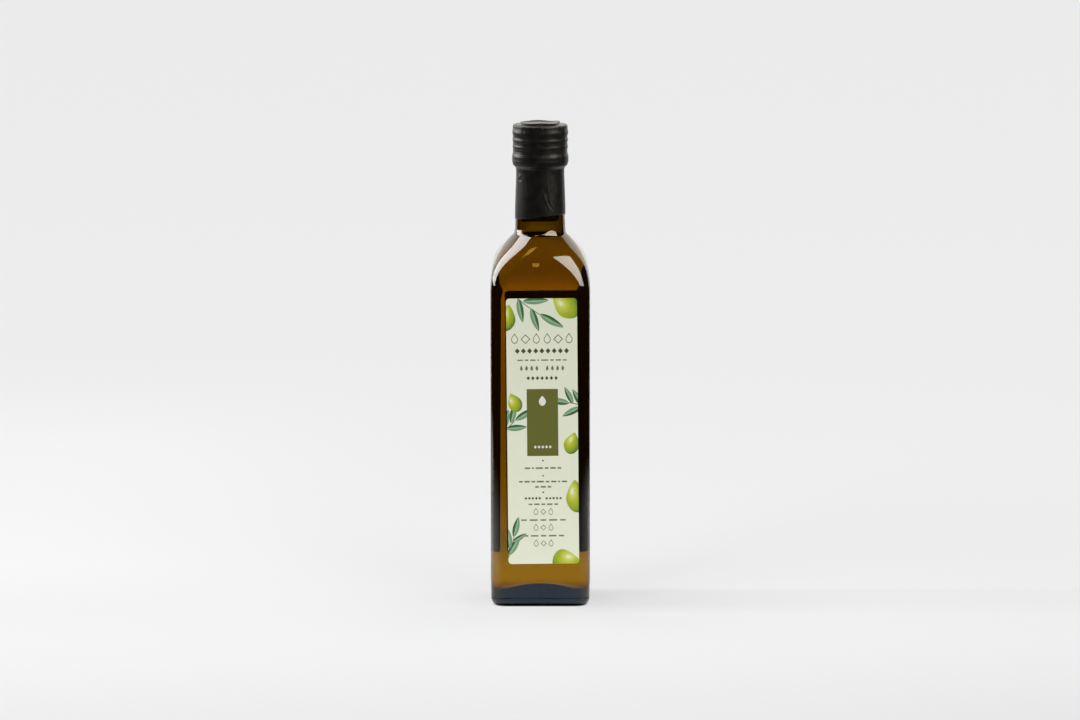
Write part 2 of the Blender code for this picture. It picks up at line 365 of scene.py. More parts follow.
def bezier(first, second, third, fourth, steps):
    points = []
    for i in range(steps + 1):
        t = i / steps
        weights = ((1 - t) ** 3, 3 * (1 - t) ** 2 * t, 3 * (1 - t) * t * t, t**3)
        ends = (first, second, third, fourth)
        points.append(tuple(sum(w * p[axis] for w, p in zip(weights, ends)) for axis in (0, 1)))
    return points


def shoulder_outline(foot_half, foot, rise):
    """The outline from the heel to the mouth, with the shoulder starting at the given foot."""
    heel = arc((foot_half - HEEL_RADIUS, HEEL_RADIUS), HEEL_RADIUS, -math.pi / 2, 0, 12)
    shoulder = bezier(
        (foot_half, foot),
        (foot_half, foot + rise),
        (
            SHOULDER_TOP_RADIUS + SHOULDER_PULL * math.sin(SHOULDER_SLOPE),
            SHOULDER_TOP - SHOULDER_PULL * math.cos(SHOULDER_SLOPE),
        ),
        (SHOULDER_TOP_RADIUS, SHOULDER_TOP),
        90,
    )
    fillet = arc(
        (NECK_RADIUS + NECK_FILLET, NECK_FOOT), NECK_FILLET, math.pi + SHOULDER_SLOPE, math.pi, 16
    )
    neck = [
        (NECK_RADIUS, NECK_TAPER_START),
        (COVERED_NECK_RADIUS, COVERED_NECK_START),
        (FINISH_RADIUS, FINISH_START),
        (FINISH_RADIUS, MOUTH),
    ]
    return heel + shoulder + fillet[1:] + neck


def inset(outline, wall_at):
    """The outline moved inwards, square to itself, by a wall that may change with the height."""
    moved = []
    for i, (half, height) in enumerate(outline):
        wall = wall_at(height)
        before = outline[max(i - 1, 0)]
        after = outline[min(i + 1, len(outline) - 1)]
        run = after[0] - before[0]
        rise = after[1] - before[1]
        length = math.hypot(run, rise)
        moved.append((half - wall * rise / length, height + wall * run / length))
    return moved


def half_at(outline, height):
    """The half width of an outline at a height."""
    for low, high in zip(outline, outline[1:]):
        if low[1] <= height <= high[1] and high[1] > low[1]:
            part = (height - low[1]) / (high[1] - low[1])
            return low[0] + part * (high[0] - low[0])
    return outline[-1][0]


def reach_of(half, corner):
    """How far the corners of a rounded square reach from its middle."""
    return half * math.sqrt(2) - min(corner, half) * (math.sqrt(2) - 1)


def spread(low, high, steps):
    return [low + (high - low) * i / steps for i in range(steps + 1)]


def wall_heights(top):
    """Heights of the rings up the walls, close together on the shoulder."""
    heights = spread(HEEL_RADIUS, CORNER_FOOT, 14) + spread(CORNER_FOOT, NECK_TAPER_START, 60)[1:]
    heights += [COVERED_NECK_START, 0.228, 0.236, FINISH_START, 0.255, MOUTH]
    return [height for height in heights if height < top - 0.0001] + [top]


class GlassForm:
    """The outlines of the outer and inner faces of the glass."""

    def __init__(self, settings):
        self.body_wall = settings.body_wall
        self.neck_wall = settings.neck_wall
        self.flat = shoulder_outline(BODY_HALF, SHOULDER_FOOT, FACE_RISE)
        self.diagonal = shoulder_outline(reach_of(BODY_HALF, BODY_CORNER), CORNER_FOOT, CORNER_RISE)
        self.inner_flat = inset(self.flat, self.wall_at)
        self.inner_diagonal = inset(self.diagonal, self.wall_at)

    def wall_at(self, height):
        share = (height - SHOULDER_FOOT) / (NECK_FOOT - SHOULDER_FOOT)
        return self.body_wall + (self.neck_wall - self.body_wall) * min(max(share, 0.0), 1.0)

    def inner_wall(self, height, into=0.0):
        """(half width, reach, height) of the inner face, moved into the wall by a little."""
        half = half_at(self.inner_flat, height) + into
        return half, half_at(self.inner_diagonal, height) + into, height

    def outer_wall(self, height):
        return half_at(self.flat, height), half_at(self.diagonal, height), height

    def mould_line(self):
        """A shallow groove round the foot of the outer wall."""
        middle = HEEL_RADIUS + LINE_RISE
        rings = []
        for off, depth in ((-1.0, 0.0), (-0.4, 0.6), (0.0, 1.0), (0.4, 0.6), (1.0, 0.0)):
            half, reach, height = self.outer_wall(middle + off * LINE_HALF)
            rings.append((half - depth * LINE_DEPTH, reach - depth * LINE_DEPTH, height))
        return rings

    def underside(self):
        """The punt from its middle out to the standing ring, and the heel."""
        ring_half = BODY_HALF - HEEL_RADIUS
        ring_corner = BODY_CORNER - HEEL_RADIUS / 2
        inner = ring_half - RING_WIDTH
        rings = [(0.0, 0.0, PUNT_HEIGHT)]
        for step in range(1, 17):
            share = step / 16
            half = inner * share
            rings.append((half, reach_of(half, half * (1 - 0.5 * share)), PUNT_HEIGHT * (1 - share**4)))
        rings.append((ring_half, reach_of(ring_half, ring_corner), 0.0))
        for half, height in arc((ring_half, HEEL_RADIUS), HEEL_RADIUS, -math.pi / 2, 0, 10)[1:-1]:
            corner = BODY_CORNER - (BODY_HALF - half) / 2
            rings.append((half, reach_of(half, corner), height))
        return rings

    def floor(self, into=0.0):
        """The inner floor from its middle out to the foot of the inner wall."""
        half = BODY_HALF - self.body_wall + into
        corner = BODY_CORNER - self.body_wall
        floor_half = half - INNER_HEEL
        low = FLOOR_EDGE - into
        rings = [(0.0, 0.0, low + FLOOR_RISE)]
        for step in range(1, 14):
            share = step / 14
            ring_half = floor_half * share
            ring_corner = ring_half * (1 - 0.7 * share)
            rings.append((ring_half, reach_of(ring_half, ring_corner), low + FLOOR_RISE * (1 - share**2)))
        for point_half, height in arc((floor_half, low + INNER_HEEL), INNER_HEEL, -math.pi / 2, 0, 10):
            point_corner = corner - (half - point_half) / 4
            rings.append((point_half, reach_of(point_half, point_corner), height))
        return rings


# Modelling helpers


def open_edit(piece):
    bpy.context.view_layer.objects.active = piece
    bpy.ops.object.mode_set(mode="EDIT")
    bpy.ops.mesh.select_all(action="SELECT")


def close_edit():
    bpy.ops.object.mode_set(mode="OBJECT")


def draw_chain(name, points):
    """A chain of edges extruded from one point, as a profile is drawn by hand."""
    bpy.ops.object.select_all(action="DESELECT")
    bpy.ops.mesh.primitive_plane_add(size=0.001)
    piece = bpy.context.object
    piece.name = name
    piece.data.name = name
    open_edit(piece)
    bpy.ops.mesh.merge(type="CENTER")
    bpy.ops.transform.translate(value=points[0])
    for before, after in zip(points, points[1:]):
        step = tuple(b - a for a, b in zip(before, after))
        bpy.ops.mesh.extrude_region_move(TRANSFORM_OT_translate={"value": step})
    close_edit()
    return piece


def face_outwards(piece):
    """Flips a closed piece whose faces all point inwards."""
    shape = bmesh.new()
    shape.from_mesh(piece.data)
    inside_out = shape.calc_volume(signed=True) < 0
    shape.free()
    if inside_out:
        open_edit(piece)
        bpy.ops.mesh.flip_normals()
        close_edit()


def turned_piece(name, profile, extras, steps=TURN_STEPS):
    """Spins a profile of (radius, height) points; extras are named values that its points carry round."""
    piece = draw_chain(name, [(radius, 0.0, height) for radius, height in profile])
    for extra, values in extras.items():
        attribute = piece.data.attributes.new(extra, "FLOAT", "POINT")
        attribute.data.foreach_set("value", values)
    open_edit(piece)
    bpy.ops.mesh.spin(steps=steps, angle=2 * math.pi, center=(0, 0, 0), axis=(0, 0, 1))
    bpy.ops.mesh.select_all(action="SELECT")
    bpy.ops.mesh.remove_doubles(threshold=0.000001)
    bpy.ops.mesh.normals_make_consistent(inside=False)
    close_edit()
    face_outwards(piece)
    bpy.ops.object.shade_smooth()
    return piece


def read_points(piece):
    points = np.empty(len(piece.data.vertices) * 3, np.float32)
    piece.data.vertices.foreach_get("co", points)
    return points.reshape(-1, 3).astype(np.float64)


def write_points(piece, points):
    piece.data.vertices.foreach_set("co", points.astype(np.float32).ravel())
    piece.data.update()


def read_extra(piece, extra):
    values = np.empty(len(piece.data.vertices), np.float32)
    piece.data.attributes[extra].data.foreach_get("value", values)
    return values.astype(np.float64)


def square_up(piece):
    """Pulls each ring of a turned piece out to a rounded square whose corners reach as far as its points say."""
    points = read_points(piece)
    reach = read_extra(piece, "reach")
    half = np.hypot(points[:, 0], points[:, 1])
    turn = np.arctan2(points[:, 1], points[:, 0])
    quarter = np.floor(turn / (math.pi / 2))
    across = (turn - quarter * math.pi / 2) / (math.pi / 4) - 1
    across = (1 - CORNER_CROWDING) * across + CORNER_CROWDING * across**3
    local = (across + 1) * math.pi / 4
    corner = np.clip((half * math.sqrt(2) - reach) / (math.sqrt(2) - 1), 0.0, half)
    centre = half - corner
    near = np.minimum(local, math.pi / 2 - local)
    flat = half * np.tan(near) <= centre
    both = np.cos(local) + np.sin(local)
    inside = np.maximum(centre**2 * (np.sin(2 * local) - 1) + corner**2, 0.0)
    round_reach = centre * both + np.sqrt(inside)
    distance = np.where(flat, half / np.cos(near), round_reach)
    angle = local + quarter * math.pi / 2
    points[:, 0] = distance * np.cos(angle)
    points[:, 1] = distance * np.sin(angle)
    write_points(piece, points)


def take_place(piece, node):
    """Puts a finished piece in the place of a CAD node."""
    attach(piece, ROOT_BODY)
    if node:
        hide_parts(node)


def let_light_by(piece):
    """A clear piece leaves the light on matt things as it is, as under the photograph's wide lamps."""
    piece.visible_shadow = False
    piece.visible_diffuse = False


def ring_profile(rings):
    return [(half, height) for half, _, height in rings]


# Glass and oil


def make_glass(settings):
    """One closed shell: underside, outer wall, mouth, inner wall and inner floor."""
    form = GlassForm(settings)
    heights = wall_heights(MOUTH)
    outer = form.underside() + [form.outer_wall(HEEL_RADIUS)] + form.mould_line()
    outer += [form.outer_wall(height) for height in heights[1:]]
    inner = [form.inner_wall(height) for height in reversed(heights)]
    inner = [ring for ring in inner if ring[2] > FLOOR_EDGE + INNER_HEEL + 0.001]
    inner += list(reversed(form.floor()))
    rings = outer + inner
    level = settings.oil_level
    wet = [0.0] * len(outer) + [1.0 if ring[2] < level else 0.0 for ring in inner]
    extras = {"reach": [ring[1] for ring in rings], "wet": wet}
    piece = turned_piece("bottle_glass", ring_profile(rings), extras)
    square_up(piece)
    piece.data.materials.append(glass_material(settings))
    let_light_by(piece)
    take_place(piece, "bottle")


def make_oil(settings):
    """The oil, which reaches just into the wall and climbs it a little at its edge."""
    form = GlassForm(settings)
    into = settings.oil_overlap
    level = settings.oil_level
    climb = settings.meniscus
    heights = [h for h in wall_heights(level + climb) if h > FLOOR_EDGE + INNER_HEEL + 0.001]
    rings = form.floor(into) + [form.inner_wall(height, into) for height in heights]
    side_count = len(rings)
    edge = half_at(form.inner_flat, level)
    for share in (0.0, 0.15, 0.35, 0.6, 0.8, 1.0):
        radius = edge - share * 2.2 * climb
        rings.append((radius, radius, level + climb * (1 - share) ** 2))
    rings.append((edge * 0.5, edge * 0.5, level))
    rings.append((0.0, 0.0, level))
    wet = [1.0] * side_count + [0.0] * (len(rings) - side_count)
    extras = {"reach": [ring[1] for ring in rings], "wet": wet}
    piece = turned_piece("oil_fill", ring_profile(rings), extras)
    square_up(piece)
    piece.data.materials.append(oil_material(settings))
    let_light_by(piece)
    take_place(piece, "oil")


# Capsule


def head_radius(height):
    """The radius of the capsule's head, with its ridges."""
    radius = HEAD_RADIUS
    for middle, depth, width in HEAD_RIDGES:
        radius += depth * math.exp(-(((height - middle) / width) ** 2))
    return radius


def capsule_profile(settings):
    side_top = HEAD_TOP - HEAD_EDGE
    side_foot = HEAD_FOOT + 0.0010
    film = settings.film_thickness
    gap = 0.00003
    profile = [(radius, HEAD_TOP - 0.0003) for radius in spread(0.0, DISC_RADIUS, 6)]
    profile += [(radius, HEAD_TOP) for radius in spread(DISC_RADIUS + 0.0006, 0.0132, 4)]
    edge_centre = (head_radius(side_top) - HEAD_EDGE, side_top)
    profile += arc(edge_centre, HEAD_EDGE, math.radians(80), 0, 8)
    for height in spread(side_top, side_foot, 60)[1:]:
        profile.append((head_radius(height), height))
    foot_radius = head_radius(side_foot)
    profile += bezier(
        (foot_radius, side_foot),
        (foot_radius, HEAD_FOOT - 0.0004),
        (FINISH_RADIUS + film + 0.0006, HEAD_FOOT - 0.0002),
        (FINISH_RADIUS + film + 0.00045, HEAD_FOOT - 0.0024),
        12,
    )[1:]
    sleeve = (
        (FINISH_RADIUS + 0.0004, FINISH_START),
        (COVERED_NECK_RADIUS + 0.00025, COVERED_NECK_START + 0.004),
        (NECK_RADIUS, 0.2180),
    )
    for low, high, count in zip(sleeve, sleeve[1:], (60, 12)):
        for share in spread(0.0, 1.0, count)[1:]:
            radius = low[0] + share * (high[0] - low[0])
            profile.append((radius + film, low[1] + share * (high[1] - low[1])))
    inner = (
        (NECK_RADIUS + gap - 0.00015, 0.2180),
        (COVERED_NECK_RADIUS + gap, COVERED_NECK_START),
        (FINISH_RADIUS + gap, FINISH_START),
        (FINISH_RADIUS + gap, MOUTH + gap),
        (0.0, MOUTH + gap),
    )
    return profile + list(inner)


def wave(turn, parts):
    """A sum of waves round the axis, from (count, depth, phase) parts."""
    total = np.zeros_like(turn)
    for count, depth, phase in parts:
        total += depth * np.sin(count * turn + phase)
    return total


def bump_at(distance, width):
    return np.exp(-((distance / width) ** 2))


def turn_between(turn, degrees):
    """The signed angle from a direction to each point's turn, in radians."""
    return np.angle(np.exp(1j * (turn - math.radians(degrees))))


def crease_height(turn, z, radius):
    """How far the sleeve's creases stand out."""
    height = np.zeros_like(z)
    for turn_low, z_low, turn_high, z_high, depth in CREASES:
        along = np.clip((z - z_low) / (z_high - z_low), 0.0, 1.0)
        lean = math.radians(turn_high - turn_low) * along**CREASE_BEND
        off = (turn_between(turn, turn_low) - lean) * radius
        past = z - np.clip(z, z_low, z_high)
        ridge = bump_at(off, CREASE_WIDTH) - 0.6 * bump_at(off - 2 * CREASE_WIDTH, 1.5 * CREASE_WIDTH)
        height += depth * ridge * bump_at(past, 2 * CREASE_WIDTH)
    return height


def make_capsule(settings):
    """The shrink film over closure and neck: ridges, a crimped rim, a seam, a dimple and a slanting hem."""
    profile = capsule_profile(settings)
    piece = turned_piece("capsule_film", profile, {}, FILM_STEPS)
    points = read_points(piece)
    x, y, z = points.T
    radius = np.hypot(x, y)
    turn = np.arctan2(y, x)
    skin = radius > FINISH_RADIUS + 0.0002
    outward = np.zeros_like(radius)
    patchy = 0.6 + 0.4 * wave(turn, ((7, 0.6, 1.0), (17, 0.4, 0.3)))
    crimp = wave(turn, ((61, 0.8, 0.4), (83, 0.6, 2.0), (37, 0.4, 1.1))) * patchy
    outward += 0.00011 * crimp * bump_at(z - 0.2695, 0.0008)
    sag = wave(turn, ((2, 0.6, 0.9), (3, 0.5, 2.2), (5, 0.3, 0.3), (11, 0.2, 1.4)))
    for middle, _, width in HEAD_RIDGES:
        outward += 0.00011 * sag * bump_at(z - middle + 0.0003 * sag, width)
    outward += 0.00003 * wave(turn * 0 + z * 5200, ((1, 1.0, 0.5),)) * (sag + 1) * bump_at(z - 0.2570, 0.0060)
    seam = turn_between(turn, 233)
    outward -= 0.00026 * bump_at(seam, 0.018) * bump_at(z - 0.2672, 0.0022)
    dimple = np.hypot(turn_between(turn, 213) * radius, z - 0.2420)
    outward += 0.00030 * bump_at(dimple, 0.0007)
    outward -= 0.00020 * bump_at(turn_between(turn, 214) * radius, 0.0008) * bump_at(z - 0.2402, 0.0009)
    outward += crease_height(turn, z, radius) * (z < HEAD_FOOT)
    outward += 0.00006 * wave(turn, ((3, 1.0, 0.2), (7, 0.5, 1.9))) * bump_at(z - 0.232, 0.012)
    scale = 1 + np.where(skin, outward / np.maximum(radius, 0.001), 0.0)
    points[:, 0] *= scale
    points[:, 1] *= scale
    lift = 0.00009 * crimp * bump_at(radius - 0.0140, 0.0009) * (z > HEAD_TOP - 0.0012)
    across, along = x / np.maximum(radius, 0.001), y / np.maximum(radius, 0.001)
    slant = HEM_MIDDLE - 0.2180 + HEM_RISE_RIGHT * across - HEM_RISE_FRONT * along
    back_slant = HEM_BACK - HEM_BACK_FALL * (along - 0.53) + 0.0003 * across - 0.2180
    share = np.clip((along + 0.03) / 0.60, 0, 1)
    slant += (back_slant - slant) * share**2 * (3 - 2 * share)
    slant += 0.00010 * wave(turn, ((4, 1.0, 0.5), (9, 0.5, 2.6)))
    hem = np.clip((0.2270 - z) / (0.2270 - 0.2180), 0, 1)
    points[:, 2] += np.minimum(lift, HEAD_TOP - z + 0.0002) + slant * hem * skin * (z < 0.2270)
    write_points(piece, points)
    piece.data.materials.append(film_material(settings, "capsule_film", settings.film_gloss, settings.film_tint[:] + (1.0,)))
    take_place(piece, "capsule")


def make_disc(settings):
    """The round top disc: a thin dish of film with a rolled, wavy rim that lifts off the head."""
    low = HEAD_TOP + 0.0003
    profile = [(radius, low + 0.00012) for radius in spread(0.0, DISC_RADIUS - 0.0018, 14)]
    profile += [
        (DISC_RADIUS - 0.0013, low + 0.00022),
        (DISC_RADIUS - 0.0008, low + 0.00048),
        (DISC_RADIUS - 0.0004, low + 0.00068),
        (DISC_RADIUS - 0.0001, low + 0.00064),
        (DISC_RADIUS, low + 0.00048),
        (DISC_RADIUS, low + 0.00020),
        (DISC_RADIUS - 0.0002, low + 0.00004),
    ]
    profile += [(radius, low) for radius in spread(DISC_RADIUS - 0.0006, 0.0, 16)]
    piece = turned_piece("capsule_top", profile, {})
    points = read_points(piece)
    x, y, z = points.T
    radius = np.hypot(x, y)
    turn = np.arctan2(y, x)
    edge = (radius / DISC_RADIUS) ** 3
    lift = 0.00030 + 0.00012 * wave(turn, ((2, 1.0, 0.6), (3, 0.6, 2.1), (5, 0.35, 0.2)))
    notch = bump_at(turn_between(turn, -12), 0.10)
    near_right = bump_at(turn_between(turn, -60), 0.7)
    points[:, 2] += (lift + 0.00045 * notch + 0.00025 * near_right) * edge
    points[:, 2] += 0.00020 * wave(turn, ((4, 1.0, 1.0), (3, 0.8, 0.2))) * (radius / DISC_RADIUS) ** 2
    ceiling = CAD_BOX[1][2] - 0.00002
    points[:, 2] = np.minimum(points[:, 2], ceiling - 0.2 * (low + 0.00068 - z))
    write_points(piece, points)
    piece.data.materials.append(film_material(settings, "capsule_top_film", settings.disc_gloss, settings.disc_tint[:] + (1.0,)))
    take_place(piece, "capsule_disc")


# Labels


def label_plate(name, size, depth_near, depth_far, shift, side, tilt):
    """A rounded paper rectangle between two depths, standing upright on one side of the bottle."""
    bpy.ops.object.select_all(action="DESELECT")
    bpy.ops.mesh.primitive_plane_add(size=1.0)
    piece = bpy.context.object
    piece.name = name
    piece.data.name = name
    open_edit(piece)
    bpy.ops.transform.resize(value=(size[0], size[1], 1.0))
    bpy.ops.mesh.bevel(offset=LABEL_CORNER, segments=10, affect="VERTICES")
    bpy.ops.mesh.extrude_region_move(TRANSFORM_OT_translate={"value": (0, 0, depth_far - depth_near)})
    bpy.ops.mesh.select_all(action="SELECT")
    bpy.ops.mesh.normals_make_consistent(inside=False)
    close_edit()
    stand_up(piece, size, depth_near, shift, side, tilt)
    return piece


def stand_up(piece, size, depth, shift, side, tilt):
    """Turns a flat drawing upright, on the front (side -1) or the back (side 1), and keeps its place in its mesh."""
    turn = Matrix.Rotation(math.pi / 2, 4, "X") @ Matrix.Rotation(tilt, 4, "Z")
    if side > 0:
        turn = Matrix.Rotation(math.pi, 4, "Z") @ turn
    move = Matrix.Translation(Vector((shift, side * depth, LABEL_FOOT + size[1] / 2)))
    piece.data.transform(move @ turn)
    piece.data.update()


class Print:
    """A label's print, drawn flat about the label's middle; each shape lies a hair above the one before."""

    def __init__(self, name, size, inks):
        self.name = name
        self.size = size
        self.inks = inks
        self.pieces = []

    def stamp(self, mesh, ink, place, size, turn=0.0):
        """One shape at a place and size in millimetres, turned by degrees."""
        copy = mesh.copy()
        copy.materials.clear()
        for material in self.inks.values():
            copy.materials.append(material)
        number = list(self.inks).index(ink)
        copy.polygons.foreach_set("material_index", [number] * len(copy.polygons))
        rise = INK_RISE + INK_STEP * len(self.pieces)
        copy.transform(
            Matrix.Translation(Vector((place[0] * MM, place[1] * MM, rise)))
            @ Matrix.Rotation(math.radians(turn), 4, "Z")
            @ Matrix.Diagonal(Vector((size[0] * MM, size[1] * MM, 1.0, 1.0)))
        )
        made = bpy.data.objects.new(self.name + "_bit", copy)
        bpy.context.scene.collection.objects.link(made)
        self.pieces.append(made)

    def row(self, mesh, ink, middle, pitch, size, count, skip=(), turn=0.0):
        """Like shapes side by side; those whose number is in skip are left out, as a gap."""
        for i in range(count):
            if i not in skip:
                across = middle[0] + (i - (count - 1) / 2) * pitch
                self.stamp(mesh, ink, (across, middle[1]), size, turn)

    def dashes(self, mesh, ink, middle, width, height, pattern):
        """Short rounded bars whose lengths and gaps follow a pattern in turn."""
        at = -width / 2
        for i, share in enumerate(pattern):
            length = width * share / sum(pattern)
            if i % 2 == 0:
                self.stamp(mesh, ink, (middle[0] + at + length / 2, middle[1]), (length, height))
            at += length

    def finish(self):
        """Joins the shapes, trims them at the label's rounded outline and thickens them into the paper."""
        bpy.ops.object.select_all(action="DESELECT")
        for made in self.pieces:
            made.select_set(True)
        whole = self.pieces[0]
        bpy.context.view_layer.objects.active = whole
        bpy.ops.object.join()
        whole.name = self.name
        whole.data.name = self.name
        half_x = self.size[0] / 2 - LABEL_CORNER
        half_y = self.size[1] / 2 - LABEL_CORNER
        open_edit(whole)
        for step in range(4 * TRIM_STEPS):
            angle = math.pi / 2 * step / TRIM_STEPS
            normal = Vector((math.cos(angle), math.sin(angle), 0))
            side_x = half_x if normal.x > 0.001 else -half_x
            side_y = half_y if normal.y > 0.001 else -half_y
            point = Vector((side_x, side_y, 0)) + normal * LABEL_CORNER
            bpy.ops.mesh.select_all(action="SELECT")
            bpy.ops.mesh.bisect(plane_co=point, plane_no=normal, clear_outer=True)
        bpy.ops.mesh.select_all(action="SELECT")
        bpy.ops.mesh.extrude_region_move(TRANSFORM_OT_translate={"value": (0, 0, -INK_DEPTH)})
        bpy.ops.mesh.select_all(action="SELECT")
        bpy.ops.mesh.normals_make_consistent(inside=False)
        close_edit()
        return whole


def flat_circle(vertices, radius=0.5):
    """A flat round face; everything else is deselected first."""
    bpy.ops.object.select_all(action="DESELECT")
    bpy.ops.mesh.primitive_circle_add(vertices=vertices, radius=radius, fill_type="NGON")
    return bpy.context.object


def take_mesh(name):
    """The mesh of the object just made, whose object is dropped."""
    made = bpy.context.object
    mesh = made.data
    mesh.name = name
    bpy.data.objects.remove(made)
    return mesh


def round_shape():
    """A disc one unit across, for dots."""
    flat_circle(24)
    return take_mesh("round_shape")


def drop_shape():
    """A drop one unit wide and high: round below and drawn out to a blunt point above."""
    piece = flat_circle(48)
    for vert in piece.data.vertices:
        above = max(vert.co.y + 0.12, 0.0) / 0.62
        vert.co.x *= 1 - 0.62 * above**1.6
    return take_mesh("drop_shape")


def lozenge_shape():
    """A solid lozenge one unit wide and high."""
    flat_circle(4)
    return take_mesh("lozenge_shape")


def bar_shape():
    """A square one unit to a side, for plates and rules."""
    bpy.ops.object.select_all(action="DESELECT")
    bpy.ops.mesh.primitive_plane_add(size=1.0)
    return take_mesh("bar_shape")


def outline_shape(vertices, line, pinch):
    """A thin outline one unit wide and high: a lozenge, or with more points a drop."""
    piece = flat_circle(vertices)
    for vert in piece.data.vertices:
        above = max(vert.co.y + 0.12, 0.0) / 0.62
        vert.co.x *= 1 - pinch * above**1.4
    open_edit(piece)
    bpy.ops.mesh.inset(thickness=line, depth=0)
    bpy.ops.mesh.delete(type="FACE")
    close_edit()
    return take_mesh("outline_shape")


def leaf_shape(bend):
    """A pointed leaf one unit long and one unit wide, from a grid pulled in to its tips."""
    bpy.ops.object.select_all(action="DESELECT")
    bpy.ops.mesh.primitive_grid_add(x_subdivisions=6, y_subdivisions=22, size=1.0)
    for vert in bpy.context.object.data.vertices:
        along = vert.co.y + 0.5
        width = max(math.sin(math.pi * along**0.85), 0.0) ** 0.75
        vert.co.x = vert.co.x * max(width, 0.015) + bend * (0.25 - vert.co.y**2)
    return take_mesh("leaf_shape")


def stem_shape():
    """A thin stem one unit long that bends a little, from a narrow grid."""
    bpy.ops.object.select_all(action="DESELECT")
    bpy.ops.mesh.primitive_grid_add(x_subdivisions=1, y_subdivisions=16, size=1.0)
    for vert in bpy.context.object.data.vertices:
        vert.co.x += 5.0 * (0.25 - vert.co.y**2)
    return take_mesh("stem_shape")


def make_inks(settings):
    ink = settings.ink_colour[:] + (1.0,)
    return {
        "plate": plain_ink("ink_plate", settings.plate_colour[:] + (1.0,), 0.05),
        "dark": plain_ink("ink_dark", ink, 0.05),
        "thin": plain_ink("ink_thin", ink, 0.05),
        "faint": plain_ink("ink_faint", srgb(112, 122, 92), 0.05),
        "pale": plain_ink("ink_pale", srgb(232, 234, 222), 0.03),
        "drop": drop_ink(),
        "leaf": leaf_ink(),
        "stem": plain_ink("ink_stem", srgb(96, 120, 74), 0.1),
        # Painted shade: the glued side is dark brown, as the paper's back shows in shade through the oil.
        "glue": plain_ink("label_glue_side_painted_shade", settings.glue_side_shade_colour[:] + (1.0,), 0.1),
    }


def sprig(drawing, shapes, foot, turn, leaves, length):
    """A stem with pairs of leaves, from its foot towards a direction in degrees, measured from upright."""
    lean = math.radians(turn)
    along = Vector((-math.sin(lean), math.cos(lean)))
    across = Vector((along.y, -along.x))
    reach = max(leaf[0] for leaf in leaves)
    middle = Vector(foot) + along * reach * 0.5
    drawing.stamp(shapes["stem"], "stem", middle, (0.45, reach), turn)
    for place, side, spread_angle, size in leaves:
        leaf_turn = turn - side * spread_angle
        leaf_lean = math.radians(leaf_turn)
        direction = Vector((-math.sin(leaf_lean), math.cos(leaf_lean)))
        at = Vector(foot) + along * place + across * side * 0.2 + direction * size * length * 0.5
        drawing.stamp(shapes["leaf"], "leaf", at, (3.9 * size, length * size), leaf_turn)


